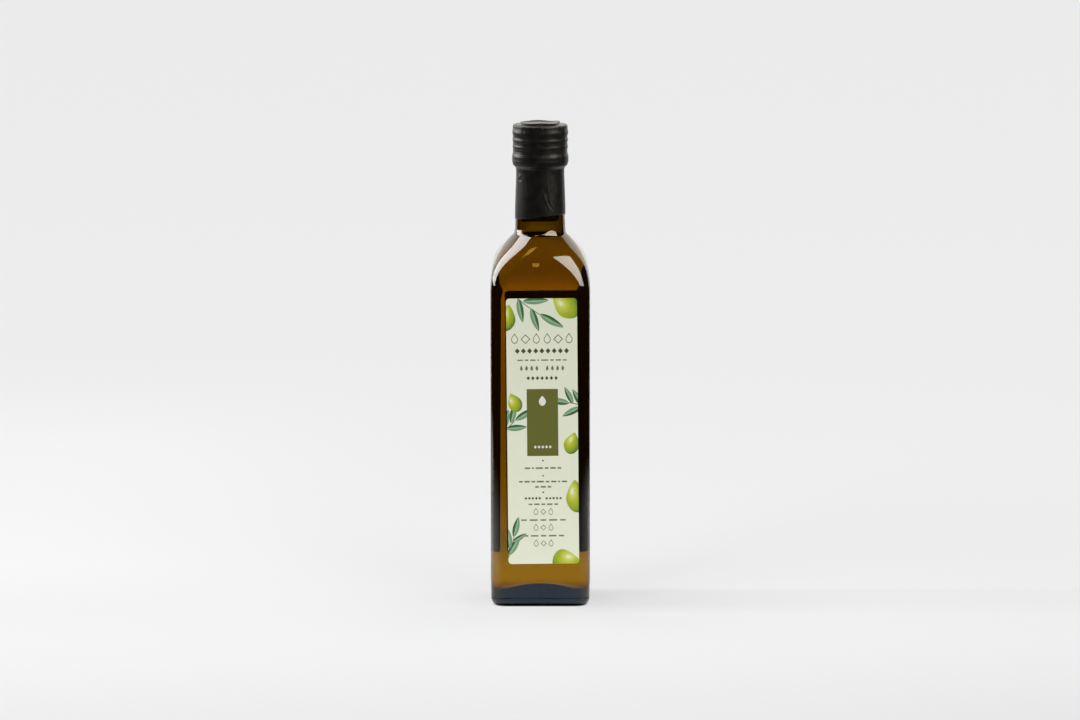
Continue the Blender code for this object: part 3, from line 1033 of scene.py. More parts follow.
def draw_front(drawing, shapes):
    """Drops of oil and sprigs at the edges, rows of small shapes, and a plate."""
    for place, size, turn in (
        ((13.6, 71.5), (13.5, 18.0), 52),
        ((-19.6, 64.5), (10.5, 15.0), -10),
    ):
        drawing.stamp(shapes["drop"], "drop", place, size, turn)
    sprig(drawing, shapes, (-16.0, 78.0), 232, ((4, 1, 42, 0.95), (7, -1, 40, 1.0), (13, 1, 34, 0.95), (19, -1, 8, 1.05)), 14.5)
    row, dashes = drawing.row, drawing.dashes
    row(shapes["bud"], "thin", (0.0, 52.8), 6.1, (4.0, 5.8), 6, skip=(1, 4))
    row(shapes["frame"], "thin", (0.0, 52.4), 6.1, (5.4, 5.4), 6, skip=(0, 2, 3, 5))
    row(shapes["lozenge"], "dark", (0.0, 45.7), 3.45, (2.75, 3.1), 9)
    dashes(shapes["pill"], "faint", (0.0, 40.5), 27.5, 0.75, (3, 1, 2, 1, 3, 1, 1, 1, 4, 1, 2, 1, 3, 1, 2))
    row(shapes["drop"], "faint", (0.0, 36.0), 2.9, (1.5, 2.8), 9, skip=(4,))
    row(shapes["lozenge"], "dark", (0.0, 30.3), 2.6, (1.9, 2.3), 7)
    sprig(drawing, shapes, (-25.0, -2.0), -48, ((3, -1, 30, 1.0), (6, 1, 38, 0.9), (10, -1, 36, 0.9), (13, 1, 10, 0.95)), 13.0)
    sprig(drawing, shapes, (25.5, 12.5), 70, ((3, 1, 40, 0.9), (4, -1, 46, 0.9), (9, 1, 44, 0.8), (11, -1, 12, 0.95)), 13.0)
    drawing.stamp(shapes["drop"], "drop", (-15.6, 16.5), (8.0, 11.0), 24)
    drawing.stamp(shapes["drop"], "drop", (16.4, -6.8), (9.0, 12.5), -14)
    drawing.stamp(shapes["bar"], "plate", (0.0, 5.1), (17.5, 38.0))
    drawing.stamp(shapes["drop"], "pale", (0.0, 17.4), (4.0, 5.6))
    row(shapes["lozenge"], "pale", (0.0, -8.8), 2.1, (1.6, 1.9), 5)
    for height in (-16.6, -25.2, -34.6):
        drawing.stamp(shapes["round"], "dark", (0.0, height), (0.95, 0.95))
    dashes(shapes["pill"], "faint", (0.0, -20.8), 20.5, 0.9, (3, 1, 1, 1, 4, 1, 2, 1, 3, 1, 2))
    dashes(shapes["pill"], "faint", (0.0, -28.5), 27.0, 0.9, (2, 1, 3, 1, 2, 1, 4, 1, 2, 1, 3, 1, 1, 1, 3))
    dashes(shapes["pill"], "faint", (0.0, -31.5), 9.0, 0.9, (2, 1, 3, 1, 2))
    row(shapes["lozenge"], "dark", (0.0, -38.0), 1.95, (1.5, 1.6), 11, skip=(5,))
    for middle, width in ((-41.4, 16.5), (-50.4, 25.0), (-59.4, 23.0)):
        dashes(shapes["pill"], "faint", (0.0, middle), width, 0.8, (2, 1, 3, 1, 2, 1, 3, 1, 2))
        row(shapes["bud"], "thin", (0.0, middle - 4.1), 4.2, (2.6, 3.9), 3, skip=(1,))
        drawing.stamp(shapes["frame"], "thin", (0.0, middle - 4.3), (3.3, 3.3))
    drawing.stamp(shapes["drop"], "drop", (18.6, -37.0), (12.0, 18.5), 6)
    drawing.stamp(shapes["drop"], "drop", (12.5, -75.0), (17.0, 15.0), -76)
    sprig(drawing, shapes, (-22.5, -78.0), -18, ((4, -1, 34, 1.0), (8, 1, 12, 1.0), (12, -1, 26, 0.95), (16, 1, 40, 0.7), (19, -1, 4, 0.9)), 13.0)


def draw_back(drawing, shapes):
    """Rows of small shapes with a ruled panel, and a drop and a sprig at two corners."""
    row, dashes = drawing.row, drawing.dashes
    drawing.stamp(shapes["drop"], "drop", (14.0, 72.0), (13.0, 18.0), 60)
    sprig(drawing, shapes, (-21.0, 76.0), 225, ((4, 1, 40, 0.95), (8, -1, 36, 1.0), (13, 1, 12, 1.0)), 13.0)
    row(shapes["lozenge"], "dark", (0.0, 54.0), 3.4, (2.7, 3.1), 8)
    fine = (
        (3, 1, 2, 1, 4, 1, 3, 1, 2, 1, 3, 1, 1, 1, 4),
        (2, 1, 4, 1, 1, 1, 3, 1, 3, 1, 2, 1, 4, 1, 2),
        (4, 1, 2, 1, 3, 1, 2, 1, 2, 1, 4, 1, 3, 1, 1),
    )
    for number in range(11):
        last = number == 10
        width = 20.0 if last else 32.0
        middle = (-6.0 if last else 0.0, 46.5 - 2.7 * number)
        dashes(shapes["pill"], "faint", middle, width, 0.9, fine[number % 3])
    drawing.stamp(shapes["bar"], "plate", (0.0, 10.5), (33.0, 5.4))
    row(shapes["lozenge"], "pale", (0.0, 10.5), 2.4, (1.8, 2.1), 9)
    for number in range(6):
        height = 4.0 - 4.4 * number
        dashes(shapes["pill"], "faint", (-8.5, height), 15.0, 0.9, fine[number % 3][:7])
        row(shapes["lozenge"], "dark", (12.0, height), 2.0, (1.5, 1.7), 3)
        drawing.stamp(shapes["bar"], "faint", (0.0, height - 2.2), (33.0, 0.22))
    for number in range(8):
        dashes(shapes["pill"], "faint", (0.0, -26.5 - 2.7 * number), 32.0, 0.9, fine[(number + 1) % 3])
    drawing.stamp(shapes["drop"], "drop", (-13.0, -72.0), (12.0, 16.0), 30)
    sprig(drawing, shapes, (22.0, -77.0), 40, ((4, 1, 34, 0.95), (7, -1, 36, 0.9), (12, 1, 10, 1.0)), 13.0)


def label_shapes():
    """The shapes that both labels are printed from."""
    return {
        "round": round_shape(),
        "drop": drop_shape(),
        "lozenge": lozenge_shape(),
        "bar": bar_shape(),
        "pill": flat_pill(),
        "bud": outline_shape(32, 0.075, 0.85),
        "frame": outline_shape(4, 0.075, 0.0),
        "leaf": leaf_shape(0.10),
        "stem": stem_shape(),
    }


def flat_pill():
    """A bar one unit wide and high with blunted ends."""
    bpy.ops.object.select_all(action="DESELECT")
    bpy.ops.mesh.primitive_plane_add(size=1.0)
    open_edit(bpy.context.object)
    bpy.ops.mesh.bevel(offset=0.18, segments=2, affect="VERTICES")
    close_edit()
    return take_mesh("flat_pill")


def make_label(settings, name, size, node, side, shift, tilt, draw, paper, inks, shapes):
    """A label of coated paper, glued to the glass, and its print."""
    near = BODY_HALF - settings.glue_depth
    far = BODY_HALF + settings.paper_thickness
    plate = label_plate(name, size, near, far, shift, side, tilt)
    plate.data.materials.append(paper)
    # The glued face takes the dark glue ink, painted shade for the back of the paper.
    plate.data.materials.append(inks["glue"])
    for face in plate.data.polygons:
        if side * face.normal.y < -0.5:
            face.material_index = 1
    take_place(plate, node)
    drawing = Print(name + "_print", size, inks)
    draw(drawing, shapes)
    whole = drawing.finish()
    stand_up(whole, size, far, shift, side, tilt)
    take_place(whole, node)


# Studio

LIGHT_AIM = 0.14

# Painted glow of the table as it shows through the oil, standing in for the light that comes through: half the distance
# from the bottle in metres, and its colour
PAINTED_GLOW_THROUGH_OIL = (
    (0.00, (1.22, 1.50, 0.34, 1.0)),
    (0.062, (1.04, 1.28, 0.34, 1.0)),
    (0.105, (0.62, 0.78, 0.60, 1.0)),
    (0.13, (0.76, 0.84, 0.40, 1.0)),
    (0.18, (0.64, 0.66, 0.30, 1.0)),
    (0.275, (0.49, 0.48, 0.20, 1.0)),
    (0.39, (0.46, 0.42, 0.18, 1.0)),
    (0.525, (0.56, 0.48, 0.18, 1.0)),
    (0.59, (0.70, 0.60, 0.20, 1.0)),
    (0.71, (0.62, 0.54, 0.20, 1.0)),
    (0.76, (0.44, 0.42, 0.20, 1.0)),
)


def area_light(name, azimuth, elevation, distance, lean, size, strength, colour):
    """A softbox whose middle is seen from the bottle at an azimuth from the camera's side and an elevation, in degrees, and whose face leans down by a lean."""
    turn = math.radians(azimuth)
    rise = math.radians(elevation)
    level = Vector((math.sin(turn), -math.cos(turn), 0.0))
    data = bpy.data.lights.new(name, "AREA")
    data.shape = "RECTANGLE"
    data.size, data.size_y = size
    data.energy = strength * size[0] * size[1] * math.pi
    data.color = colour
    light = bpy.data.objects.new(name, data)
    bpy.context.scene.collection.objects.link(light)
    light.location = (level * math.cos(rise) + Vector((0, 0, math.sin(rise)))) * distance
    light.location.z += LIGHT_AIM
    face = level * math.cos(math.radians(lean)) + Vector((0, 0, math.sin(math.radians(lean))))
    light.rotation_euler = (-face).to_track_quat("-Z", "Y").to_euler()
    light.visible_camera = False
    return light


def studio_world(settings):
    """Even light for matt surfaces, and for shiny ones a pale room behind and a dark one in front."""
    world = bpy.data.worlds.new("studio")
    bpy.context.scene.world = world
    world.use_nodes = True
    tree = world.node_tree
    tree.nodes.clear()
    out = add_node(tree, "ShaderNodeOutputWorld")
    place = add_node(tree, "ShaderNodeTexCoord")
    parts = add_node(tree, "ShaderNodeSeparateXYZ")
    tree.links.new(place.outputs["Generated"], parts.inputs[0])
    path = add_node(tree, "ShaderNodeLightPath")
    ceiling = add_node(tree, "ShaderNodeMapRange")
    ceiling.inputs["To Min"].default_value = settings.low_light
    ceiling.inputs["To Max"].default_value = settings.high_light
    tree.links.new(parts.outputs["Z"], ceiling.inputs["Value"])
    lighting = add_node(tree, "ShaderNodeMix", data_type="FLOAT")
    lighting.inputs["B"].default_value = settings.room_light
    tree.links.new(path.outputs["Is Camera Ray"], lighting.inputs["Factor"])
    tree.links.new(ceiling.outputs["Result"], lighting.inputs["A"])
    even = add_node(tree, "ShaderNodeBackground")
    even.inputs["Color"].default_value = (1.0, 1.0, 1.01, 1.0)
    tree.links.new(lighting.outputs["Result"], even.inputs["Strength"])
    side = add_node(tree, "ShaderNodeMath", operation="ABSOLUTE")
    tree.links.new(parts.outputs["X"], side.inputs[0])
    sector = add_node(tree, "ShaderNodeMath", operation="MULTIPLY_ADD")
    sector.inputs[1].default_value = -0.93
    tree.links.new(side.outputs[0], sector.inputs[0])
    tree.links.new(parts.outputs["Y"], sector.inputs[2])
    behind = add_node(tree, "ShaderNodeMapRange", interpolation_type="SMOOTHSTEP")
    behind.inputs["From Min"].default_value = -0.03
    behind.inputs["From Max"].default_value = 0.03
    behind.inputs["To Min"].default_value = settings.dark_side
    behind.inputs["To Max"].default_value = settings.panels_behind
    tree.links.new(sector.outputs[0], behind.inputs["Value"])
    shiny = add_node(tree, "ShaderNodeBackground")
    shiny.inputs["Color"].default_value = (1.0, 0.97, 0.88, 1.0)
    tree.links.new(behind.outputs["Result"], shiny.inputs["Strength"])
    above = add_node(tree, "ShaderNodeMapRange", interpolation_type="SMOOTHSTEP")
    above.inputs["From Min"].default_value = -0.02
    above.inputs["From Max"].default_value = 0.08
    above.inputs["To Min"].default_value = settings.backdrop
    above.inputs["To Max"].default_value = settings.dark_side
    tree.links.new(parts.outputs["Z"], above.inputs["Value"])
    clear = add_node(tree, "ShaderNodeBackground")
    tree.links.new(above.outputs["Result"], clear.inputs["Strength"])
    mirrored = add_node(tree, "ShaderNodeMixShader")
    tree.links.new(path.outputs["Is Glossy Ray"], mirrored.inputs[0])
    tree.links.new(even.outputs[0], mirrored.inputs[1])
    tree.links.new(shiny.outputs[0], mirrored.inputs[2])
    through = add_node(tree, "ShaderNodeMixShader")
    tree.links.new(path.outputs["Is Transmission Ray"], through.inputs[0])
    tree.links.new(mirrored.outputs[0], through.inputs[1])
    tree.links.new(clear.outputs[0], through.inputs[2])
    tree.links.new(through.outputs[0], out.inputs["Surface"])


def floor_material(settings):
    """Matt white with a painted contact shadow round the bottle's foot, a painted cast shadow to its right and painted
    light that is darker towards the front, brighter far left and darker far right; light bounced onto the labels sees
    painted shade beyond the table's edge; for mirror rays it glows as a painted reflection of a small table with a
    brighter left, and for rays through the glass it glows as a painted stand-in for the table seen dimmed through the
    oil.
    """
    material, shader = new_material("pale_floor")
    material.cycles.emission_sampling = "NONE"
    tree = material.node_tree
    shader.inputs["Roughness"].default_value = 1.0
    shader.inputs["Specular IOR Level"].default_value = 0.0

    def step(operation, *values):
        node = add_node(tree, "ShaderNodeMath", operation=operation)
        for socket, value in zip(node.inputs, values):
            if isinstance(value, float):
                socket.default_value = value
            else:
                tree.links.new(value, socket)
        return node.outputs[0]

    def rise(value, start, end, low=0.0, high=1.0):
        node = add_node(tree, "ShaderNodeMapRange", interpolation_type="SMOOTHSTEP")
        for name, number in (("From Min", start), ("From Max", end), ("To Min", low), ("To Max", high)):
            node.inputs[name].default_value = number
        tree.links.new(value, node.inputs["Value"])
        return node.outputs["Result"]

    place = add_node(tree, "ShaderNodeTexCoord")
    parts = add_node(tree, "ShaderNodeSeparateXYZ")
    tree.links.new(place.outputs["Object"], parts.inputs[0])
    x, y = parts.outputs["X"], parts.outputs["Y"]
    # Painted reflection: for mirror rays the floor glows as a small table, brighter to the left and behind, bluish in
    # front, and dark right beside the bottle's foot.
    square = step("ADD", step("MULTIPLY", x, x), step("MULTIPLY", y, y))
    away = step("SQRT", square)
    sideways = step("DIVIDE", step("MULTIPLY", x, x), step("ADD", square, 0.0001))
    turned_back = rise(step("DIVIDE", y, step("ADD", away, 0.001)), -0.05, 0.40)
    left_back = step("MULTIPLY", turned_back, rise(x, 0.05, -0.05))
    left_near = step("MULTIPLY", rise(x, 0.0, -0.05), rise(away, 0.42, 0.20))
    gain = step("MULTIPLY_ADD", turned_back, 0.9, step("MULTIPLY_ADD", left_near, 0.75, 0.62))
    table = step("MULTIPLY_ADD", sideways, step("MULTIPLY", gain, rise(away, 0.11, 0.19, 0.72, 1.0)), 0.18)
    limit = step("MULTIPLY_ADD", sideways, 0.10, step("MULTIPLY_ADD", left_back, 0.24, settings.painted_table_reach))
    table = step("MULTIPLY", table, rise(step("SUBTRACT", away, limit), 0.12, -0.12))
    edge = step("MULTIPLY_ADD", rise(step("ABSOLUTE", x), 0.004, 0.024), -0.011, 0.0770)
    close = step("MULTIPLY", rise(step("SUBTRACT", away, edge), 0.004, -0.004), step("MULTIPLY_ADD", sideways, 0.5, 0.95))
    table = step("MAXIMUM", table, close)
    side_x = step("MAXIMUM", step("SUBTRACT", step("ABSOLUTE", x), 0.0190), 0.0)
    side_y = step("MAXIMUM", step("SUBTRACT", step("ABSOLUTE", y), 0.0190), 0.0)
    beside = step("SQRT", step("ADD", step("MULTIPLY", side_x, side_x), step("MULTIPLY", side_y, side_y)))
    table = step("MULTIPLY", table, rise(beside, 0.0070, 0.0100))
    behind = rise(step("SUBTRACT", y, step("MULTIPLY", step("ABSOLUTE", x), 0.93)), -0.03, 0.03)
    table = step("MAXIMUM", table, step("MULTIPLY", behind, settings.backdrop))
    neutral = step("MAXIMUM", sideways, turned_back)
    painted_reflection_tone = colour_ramp(tree, neutral, ((0.1, (0.66, 0.88, 1.22, 1.0)), (0.6, (1.0, 0.99, 0.96, 1.0))))
    mirrored = add_node(tree, "ShaderNodeEmission")
    tree.links.new(painted_reflection_tone, mirrored.inputs["Color"])
    tree.links.new(table, mirrored.inputs["Strength"])

    # Painted glow for rays through the glass: the table's colour as it shows through the oil, darker to the sides close
    # to the bottle.
    reach = step("MULTIPLY", away, 0.5)
    through = add_node(tree, "ShaderNodeEmission")
    tree.links.new(colour_ramp(tree, reach, PAINTED_GLOW_THROUGH_OIL), through.inputs["Color"])
    corner = step("MULTIPLY", rise(sideways, 0.02, 0.40), rise(reach, 0.11, 0.08))
    tree.links.new(step("MULTIPLY_ADD", corner, -0.6, 1.0), through.inputs["Strength"])

    path = add_node(tree, "ShaderNodeLightPath")
    # Painted shade that only light bounced onto the labels sees: the floor is darker beyond the table's edge.
    on_table = rise(away, 0.40, 0.28, 1.0 - settings.edge_painted_shade, 1.0)
    shade = add_node(tree, "ShaderNodeMix", data_type="FLOAT")
    shade.inputs["A"].default_value = 1.0
    tree.links.new(path.outputs["Is Diffuse Ray"], shade.inputs["Factor"])
    tree.links.new(on_table, shade.inputs["B"])
    # Painted contact shadow round the bottle's foot and a painted cast shadow to its right, as the clear pieces cast no
    # shadow.
    under = rise(beside, 0.0086, 0.0050)
    painted_cast_shadow_band = step("MULTIPLY", rise(y, 0.034, 0.022), rise(y, -0.055, -0.015))
    painted_cast_shadow = step("MULTIPLY", painted_cast_shadow_band, rise(x, 0.006, 0.030))
    painted_cast_shadow = step("MULTIPLY", painted_cast_shadow, rise(x, 0.22, 0.03, 0.35, 1.0))
    painted_light_and_shade = step("MULTIPLY", step("MULTIPLY_ADD", under, -0.97, 1.0), step("MULTIPLY_ADD", painted_cast_shadow, -0.085, 1.0))
    # Painted light across the floor: darker towards the front, a little brighter far to the left and a little darker
    # far to the right.
    painted_light_and_shade = step("MULTIPLY", painted_light_and_shade, rise(y, -0.40, -0.10, 0.90, 1.0))
    painted_light_far_left = step("MULTIPLY", rise(x, -0.05, -0.33), step("MULTIPLY", rise(y, -0.05, 0.12), rise(y, 0.95, 0.45)))
    painted_shade_far_right = step("MULTIPLY", rise(x, 0.05, 0.33), rise(y, 0.50, 0.10))
    painted_light_and_shade = step("MULTIPLY", painted_light_and_shade, step("MULTIPLY_ADD", painted_light_far_left, 0.05, 1.0))
    painted_light_and_shade = step("MULTIPLY", painted_light_and_shade, step("MULTIPLY_ADD", painted_shade_far_right, -0.028, 1.0))
    painted_light_and_shade = step("MULTIPLY", painted_light_and_shade, shade.outputs["Result"])
    white = add_node(tree, "ShaderNodeMix", data_type="RGBA", blend_type="MULTIPLY")
    white.inputs["Factor"].default_value = 1.0
    white.inputs[6].default_value = settings.floor_colour[:] + (1.0,)
    tree.links.new(painted_light_and_shade, white.inputs[7])
    tree.links.new(white.outputs[2], shader.inputs["Base Color"])
    # Mirror rays see the painted reflection instead of the matt white.
    painted_reflection_switch = add_node(tree, "ShaderNodeMixShader")
    tree.links.new(path.outputs["Is Glossy Ray"], painted_reflection_switch.inputs[0])
    tree.links.new(shader.outputs[0], painted_reflection_switch.inputs[1])
    tree.links.new(mirrored.outputs[0], painted_reflection_switch.inputs[2])
    # Rays through the glass see the painted glow instead.
    painted_glow_switch = add_node(tree, "ShaderNodeMixShader")
    tree.links.new(path.outputs["Is Transmission Ray"], painted_glow_switch.inputs[0])
    tree.links.new(painted_reflection_switch.outputs[0], painted_glow_switch.inputs[1])
    tree.links.new(through.outputs[0], painted_glow_switch.inputs[2])
    tree.links.new(painted_glow_switch.outputs[0], tree.nodes["Material Output"].inputs["Surface"])
    return material


def make_floor(settings):
    bpy.ops.object.select_all(action="DESELECT")
    bpy.ops.mesh.primitive_circle_add(vertices=96, radius=9.0, fill_type="NGON")
    floor = bpy.context.object
    floor.name = "floor"
    floor.data.materials.append(floor_material(settings))


def make_camera(settings):
    """The photograph's view: a long lens a little above the bottle."""
    data = bpy.data.cameras.new("camera")
    data.lens = settings.lens
    data.sensor_width = 36.0
    data.shift_x = settings.camera_shift
    data.clip_end = 100.0
    camera = bpy.data.objects.new("camera", data)
    bpy.context.scene.collection.objects.link(camera)
    rise = settings.camera_rise
    aim = Vector((0.0, 0.0, settings.aim_height))
    toward = Vector((0.0, -math.cos(rise), math.sin(rise)))
    camera.location = aim + toward * settings.camera_distance
    turned = Matrix.Rotation(math.pi / 2 - rise, 3, "X") @ Matrix.Rotation(settings.camera_roll, 3, "Z")
    camera.rotation_euler = turned.to_euler()
    bpy.context.scene.camera = camera


def make_lights(settings):
    warm_white = (1.0, 0.985, 0.95)
    cream_white = (1.0, 0.97, 0.84)
    left = area_light("softbox_left", -111.5, 59.5, 1.18, 0, (0.355, 1.78), settings.left_gloss, warm_white)
    right = area_light("softbox_right", 57.0, 30.7, 1.20, 73.9, (0.876, 1.332), settings.right_gloss, cream_white)
    for light in (left, right):
        light.visible_diffuse = False
    gold = (1.0, 0.59, 0.08)
    high = area_light("fleck_high", -26.0, 67.1, 1.04, 66.0, (0.24, 0.20), settings.fleck_gloss, gold)
    low = area_light("fleck_low", -0.2, 30.9, 1.05, 29.0, (0.0066, 0.13), settings.fleck_gloss, gold)
    for light in (high, low):
        light.visible_diffuse = False
        light.visible_transmission = False
    key = area_light("key", -42, 16, 1.6, 12, (0.9, 0.9), settings.key_light, (1.0, 1.0, 1.0))
    fill = area_light("fill", 35, 14, 1.8, 10, (0.9, 0.9), settings.fill_light, (1.0, 1.0, 1.0))
    for light in (key, fill):
        light.visible_glossy = False
        light.visible_transmission = False


def set_picture():
    """Plain colours, and enough bounces for light to cross glass and oil."""
    scene = bpy.context.scene
    scene.view_settings.view_transform = "Standard"
    scene.cycles.max_bounces = 24
    scene.cycles.transmission_bounces = 24
    scene.cycles.glossy_bounces = 8
    scene.cycles.blur_glossy = 0.0
    scene.cycles.caustics_reflective = False
    scene.cycles.caustics_refractive = False


# Settings that a user would change


class GlassSettings(bpy.types.PropertyGroup):
    body_wall: bpy.props.FloatProperty(
        name="Body wall", description="Thickness of the glass in the body", default=0.0016, unit="LENGTH"
    )
    neck_wall: bpy.props.FloatProperty(
        name="Neck wall", description="Thickness of the glass in the neck", default=0.0025, unit="LENGTH"
    )
    glass_colour: bpy.props.FloatVectorProperty(
        name="Glass colour",
        description="What the glass lets through",
        default=(0.662, 0.549, 0.06),
        subtype="COLOR",
    )
    glass_density: bpy.props.FloatProperty(
        name="Glass density", description="How strongly the glass takes up light, per metre", default=1200.0
    )
    oil_level: bpy.props.FloatProperty(
        name="Oil level", description="Height of the oil above the table", default=0.2079, unit="LENGTH"
    )
    meniscus: bpy.props.FloatProperty(
        name="Meniscus", description="How far the oil climbs the glass", default=0.0004, unit="LENGTH"
    )
    oil_overlap: bpy.props.FloatProperty(
        name="Oil overlap", description="How far the oil reaches into the wall", default=0.00008, unit="LENGTH"
    )
    oil_colour: bpy.props.FloatVectorProperty(
        name="Oil colour", description="What the oil lets through", default=(0.992, 0.80, 0.04), subtype="COLOR"
    )
    oil_density: bpy.props.FloatProperty(
        name="Oil density", description="How strongly the oil takes up light, per metre", default=48.0
    )


class CapsuleSettings(bpy.types.PropertyGroup):
    film_colour: bpy.props.FloatVectorProperty(
        name="Film colour", description="Colour of the shrink film", default=(0.0035, 0.0034, 0.0032), subtype="COLOR"
    )
    film_thickness: bpy.props.FloatProperty(
        name="Film thickness", description="Thickness of the sleeve", default=0.00015, unit="LENGTH"
    )
    film_gloss: bpy.props.FloatProperty(name="Film gloss", description="Mirror strength of the film", default=0.25)
    film_tint: bpy.props.FloatVectorProperty(
        name="Film tint", description="Tint of the film's sheen", default=(0.97, 0.97, 0.94), subtype="COLOR"
    )
    disc_tint: bpy.props.FloatVectorProperty(
        name="Disc tint", description="Tint of the top disc's sheen", default=(0.62, 0.54, 0.50), subtype="COLOR"
    )
    disc_gloss: bpy.props.FloatProperty(
        name="Disc gloss", description="Mirror strength of the stretched top disc", default=0.42
    )


class LabelSettings(bpy.types.PropertyGroup):
    paper_colour: bpy.props.FloatVectorProperty(
        name="Paper colour", description="Colour of the unprinted paper", default=(0.825, 0.838, 0.665), subtype="COLOR"
    )
    plate_colour: bpy.props.FloatVectorProperty(
        name="Plate colour", description="Colour of the plate in the middle", default=(0.130, 0.137, 0.010), subtype="COLOR"
    )
    # Painted shade on the glued side, where the paper's back is seen through the oil
    glue_side_shade_colour: bpy.props.FloatVectorProperty(
        name="Glue colour", description="Colour of the side that is glued on", default=(0.05, 0.035, 0.02), subtype="COLOR"
    )
    ink_colour: bpy.props.FloatVectorProperty(
        name="Ink colour", description="Colour of the rows of bars", default=(0.06, 0.07, 0.03), subtype="COLOR"
    )
    paper_thickness: bpy.props.FloatProperty(
        name="Paper thickness", description="How far the paper stands off the glass", default=0.00012, unit="LENGTH"
    )
    glue_depth: bpy.props.FloatProperty(
        name="Glue depth", description="How far the paper reaches into the glass", default=0.00004, unit="LENGTH"
    )
    front_shift: bpy.props.FloatProperty(
        name="Front shift", description="How far right the front label sits", default=0.0013, unit="LENGTH"
    )
    front_tilt: bpy.props.FloatProperty(
        name="Front tilt", description="How far askew the front label is glued", default=math.radians(0.5), unit="ROTATION"
    )
    back_tilt: bpy.props.FloatProperty(
        name="Back tilt", description="How far askew the back label is glued", default=math.radians(-0.45), unit="ROTATION"
    )
    back_shift: bpy.props.FloatProperty(
        name="Back shift", description="How far along X the back label sits", default=0.00115, unit="LENGTH"
    )


class StudioSettings(bpy.types.PropertyGroup):
    lens: bpy.props.FloatProperty(
        name="Lens", description="Focal length in millimetres", default=200.5, unit="CAMERA"
    )
    camera_distance: bpy.props.FloatProperty(
        name="Camera distance", description="Distance of the camera", default=3.4, unit="LENGTH"
    )
    camera_rise: bpy.props.FloatProperty(
        name="Camera rise", description="Angle of the view above level", default=math.radians(8.2), unit="ROTATION"
    )
    camera_shift: bpy.props.FloatProperty(
        name="Camera shift", description="Sideways shift of the picture, as a share of its width", default=-0.00026, precision=5
    )
    camera_roll: bpy.props.FloatProperty(
        name="Camera roll", description="Turn of the picture about its middle", default=math.radians(-0.03), unit="ROTATION"
    )
    aim_height: bpy.props.FloatProperty(
        name="Aim height", description="Height that the camera looks at", default=0.1367, unit="LENGTH"
    )
    # Reach of the painted reflection of the table in front of the bottle
    painted_table_reach: bpy.props.FloatProperty(
        name="Table reach", description="How far the table goes in front of the bottle", default=0.36, unit="LENGTH"
    )
    room_light: bpy.props.FloatProperty(name="Wall", description="Brightness of the wall in the picture", default=0.86)
    low_light: bpy.props.FloatProperty(name="Low light", description="Even light from the horizon", default=0.47)
    high_light: bpy.props.FloatProperty(name="High light", description="Even light from overhead", default=1.10)
    backdrop: bpy.props.FloatProperty(name="Backdrop", description="Brightness behind the bottle", default=0.85)
    # Painted shade on the floor beyond the table's edge, seen only by light bounced onto the labels
    edge_painted_shade: bpy.props.FloatProperty(
        name="Edge loss", description="How much darker the room beyond the table is for matt things", default=0.75
    )
    panels_behind: bpy.props.FloatProperty(
        name="Panels behind", description="Brightness that shiny edges mirror from behind", default=1.9
    )
    dark_side: bpy.props.FloatProperty(name="Dark side", description="Brightness in front", default=0.02)
    left_gloss: bpy.props.FloatProperty(name="Left softbox", description="Its brightness in the glass", default=9.6)
    fleck_gloss: bpy.props.FloatProperty(
        name="Fleck gloss", description="Strength of the small warm lights mirrored in the shoulder", default=4.9
    )
    right_gloss: bpy.props.FloatProperty(name="Right softbox", description="Its brightness in the glass", default=9.4)
    key_light: bpy.props.FloatProperty(name="Key light", description="Light from the left", default=2.0)
    fill_light: bpy.props.FloatProperty(name="Fill light", description="Light from the right", default=0.8)
    floor_colour: bpy.props.FloatVectorProperty(
        name="Floor colour", description="Colour of the table", default=(0.93, 0.93, 0.93), subtype="COLOR"
    )


# Operators


class MakeGlass(bpy.types.Operator):
    """Model the glass bottle"""

    bl_idname = "bottle.make_glass"
    bl_label = "Glass"

    def execute(self, context):
        make_glass(context.scene.bottle_glass)
        return {"FINISHED"}


class MakeOil(bpy.types.Operator):
    """Fill the bottle with oil"""

    bl_idname = "bottle.make_oil"
    bl_label = "Oil"

    def execute(self, context):
        make_oil(context.scene.bottle_glass)
        return {"FINISHED"}


class MakeCapsule(bpy.types.Operator):
    """Shrink the capsule over the closure and lay its disc on top"""

    bl_idname = "bottle.make_capsule"
    bl_label = "Capsule"

    def execute(self, context):
        make_capsule(context.scene.bottle_capsule)
        make_disc(context.scene.bottle_capsule)
        return {"FINISHED"}


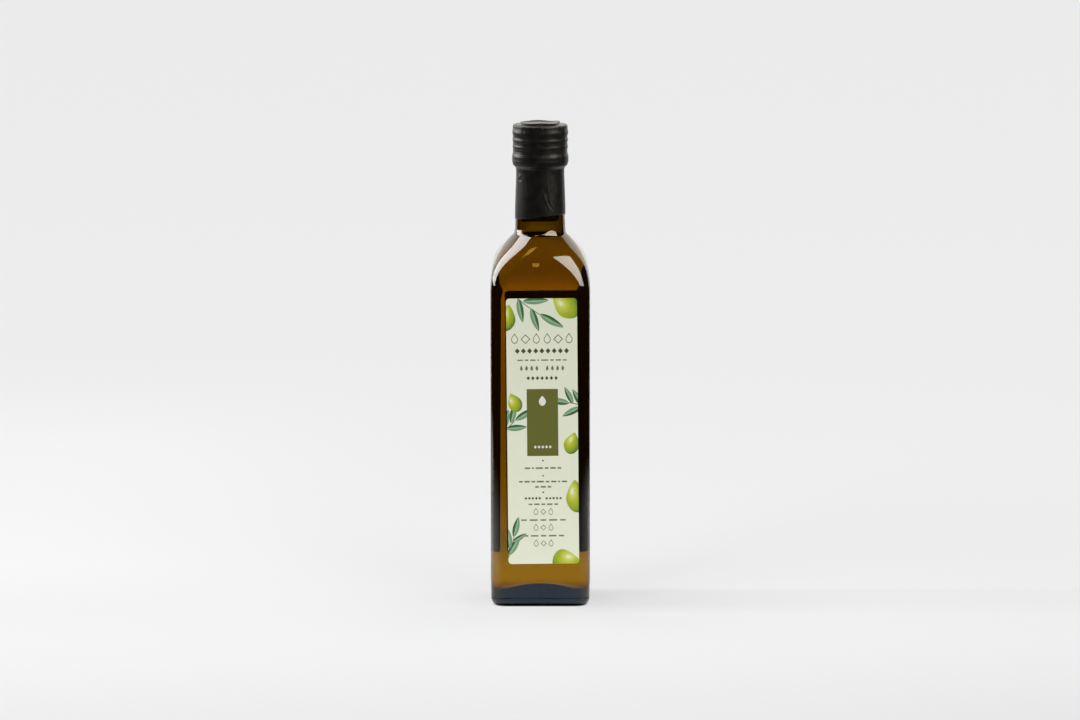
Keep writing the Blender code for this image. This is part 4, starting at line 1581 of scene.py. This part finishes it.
class MakeLabels(bpy.types.Operator):
    """Glue the printed front and back labels on"""

    bl_idname = "bottle.make_labels"
    bl_label = "Labels"

    def execute(self, context):
        settings = context.scene.bottle_labels
        shared = (paper_material(settings), make_inks(settings), label_shapes())
        size = (LABEL_WIDTH, LABEL_TOP - LABEL_FOOT)
        turned = (settings.front_shift, settings.front_tilt)
        make_label(settings, "label_front", size, "front_label", -1, *turned, draw_front, *shared)
        size = (BACK_WIDTH, BACK_TOP - LABEL_FOOT)
        turned = (settings.back_shift, settings.back_tilt)
        make_label(settings, "label_back", size, "back_label", 1, *turned, draw_back, *shared)
        return {"FINISHED"}


class MakeStudio(bpy.types.Operator):
    """Set up the floor, the light and the camera"""

    bl_idname = "bottle.make_studio"
    bl_label = "Studio"

    def execute(self, context):
        settings = context.scene.bottle_studio
        make_floor(settings)
        studio_world(settings)
        make_lights(settings)
        make_camera(settings)
        set_picture()
        return {"FINISHED"}


class BottlePanel(bpy.types.Panel):
    """The bottle's operators, in the 3D view's sidebar"""

    bl_idname = "VIEW3D_PT_bottle"
    bl_label = "Olive Oil Bottle"
    bl_space_type = "VIEW_3D"
    bl_region_type = "UI"
    bl_category = "Bottle"

    def draw(self, context):
        for operator in OPERATORS:
            self.layout.operator(operator.bl_idname)


GROUPS = {
    "bottle_glass": GlassSettings,
    "bottle_capsule": CapsuleSettings,
    "bottle_labels": LabelSettings,
    "bottle_studio": StudioSettings,
}
OPERATORS = (MakeGlass, MakeOil, MakeCapsule, MakeLabels, MakeStudio)


def register():
    for group in GROUPS.values():
        bpy.utils.register_class(group)
    for name, group in GROUPS.items():
        setattr(bpy.types.Scene, name, bpy.props.PointerProperty(type=group))
    for operator in OPERATORS:
        bpy.utils.register_class(operator)
    bpy.utils.register_class(BottlePanel)


def unregister():
    bpy.utils.unregister_class(BottlePanel)
    for operator in reversed(OPERATORS):
        bpy.utils.unregister_class(operator)
    for name in GROUPS:
        delattr(bpy.types.Scene, name)
    for group in reversed(GROUPS.values()):
        bpy.utils.unregister_class(group)


def main():
    register()
    bpy.ops.bottle.make_glass()
    bpy.ops.bottle.make_oil()
    bpy.ops.bottle.make_capsule()
    bpy.ops.bottle.make_labels()
    bpy.ops.bottle.make_studio()


if __name__ == "__main__":
    main()
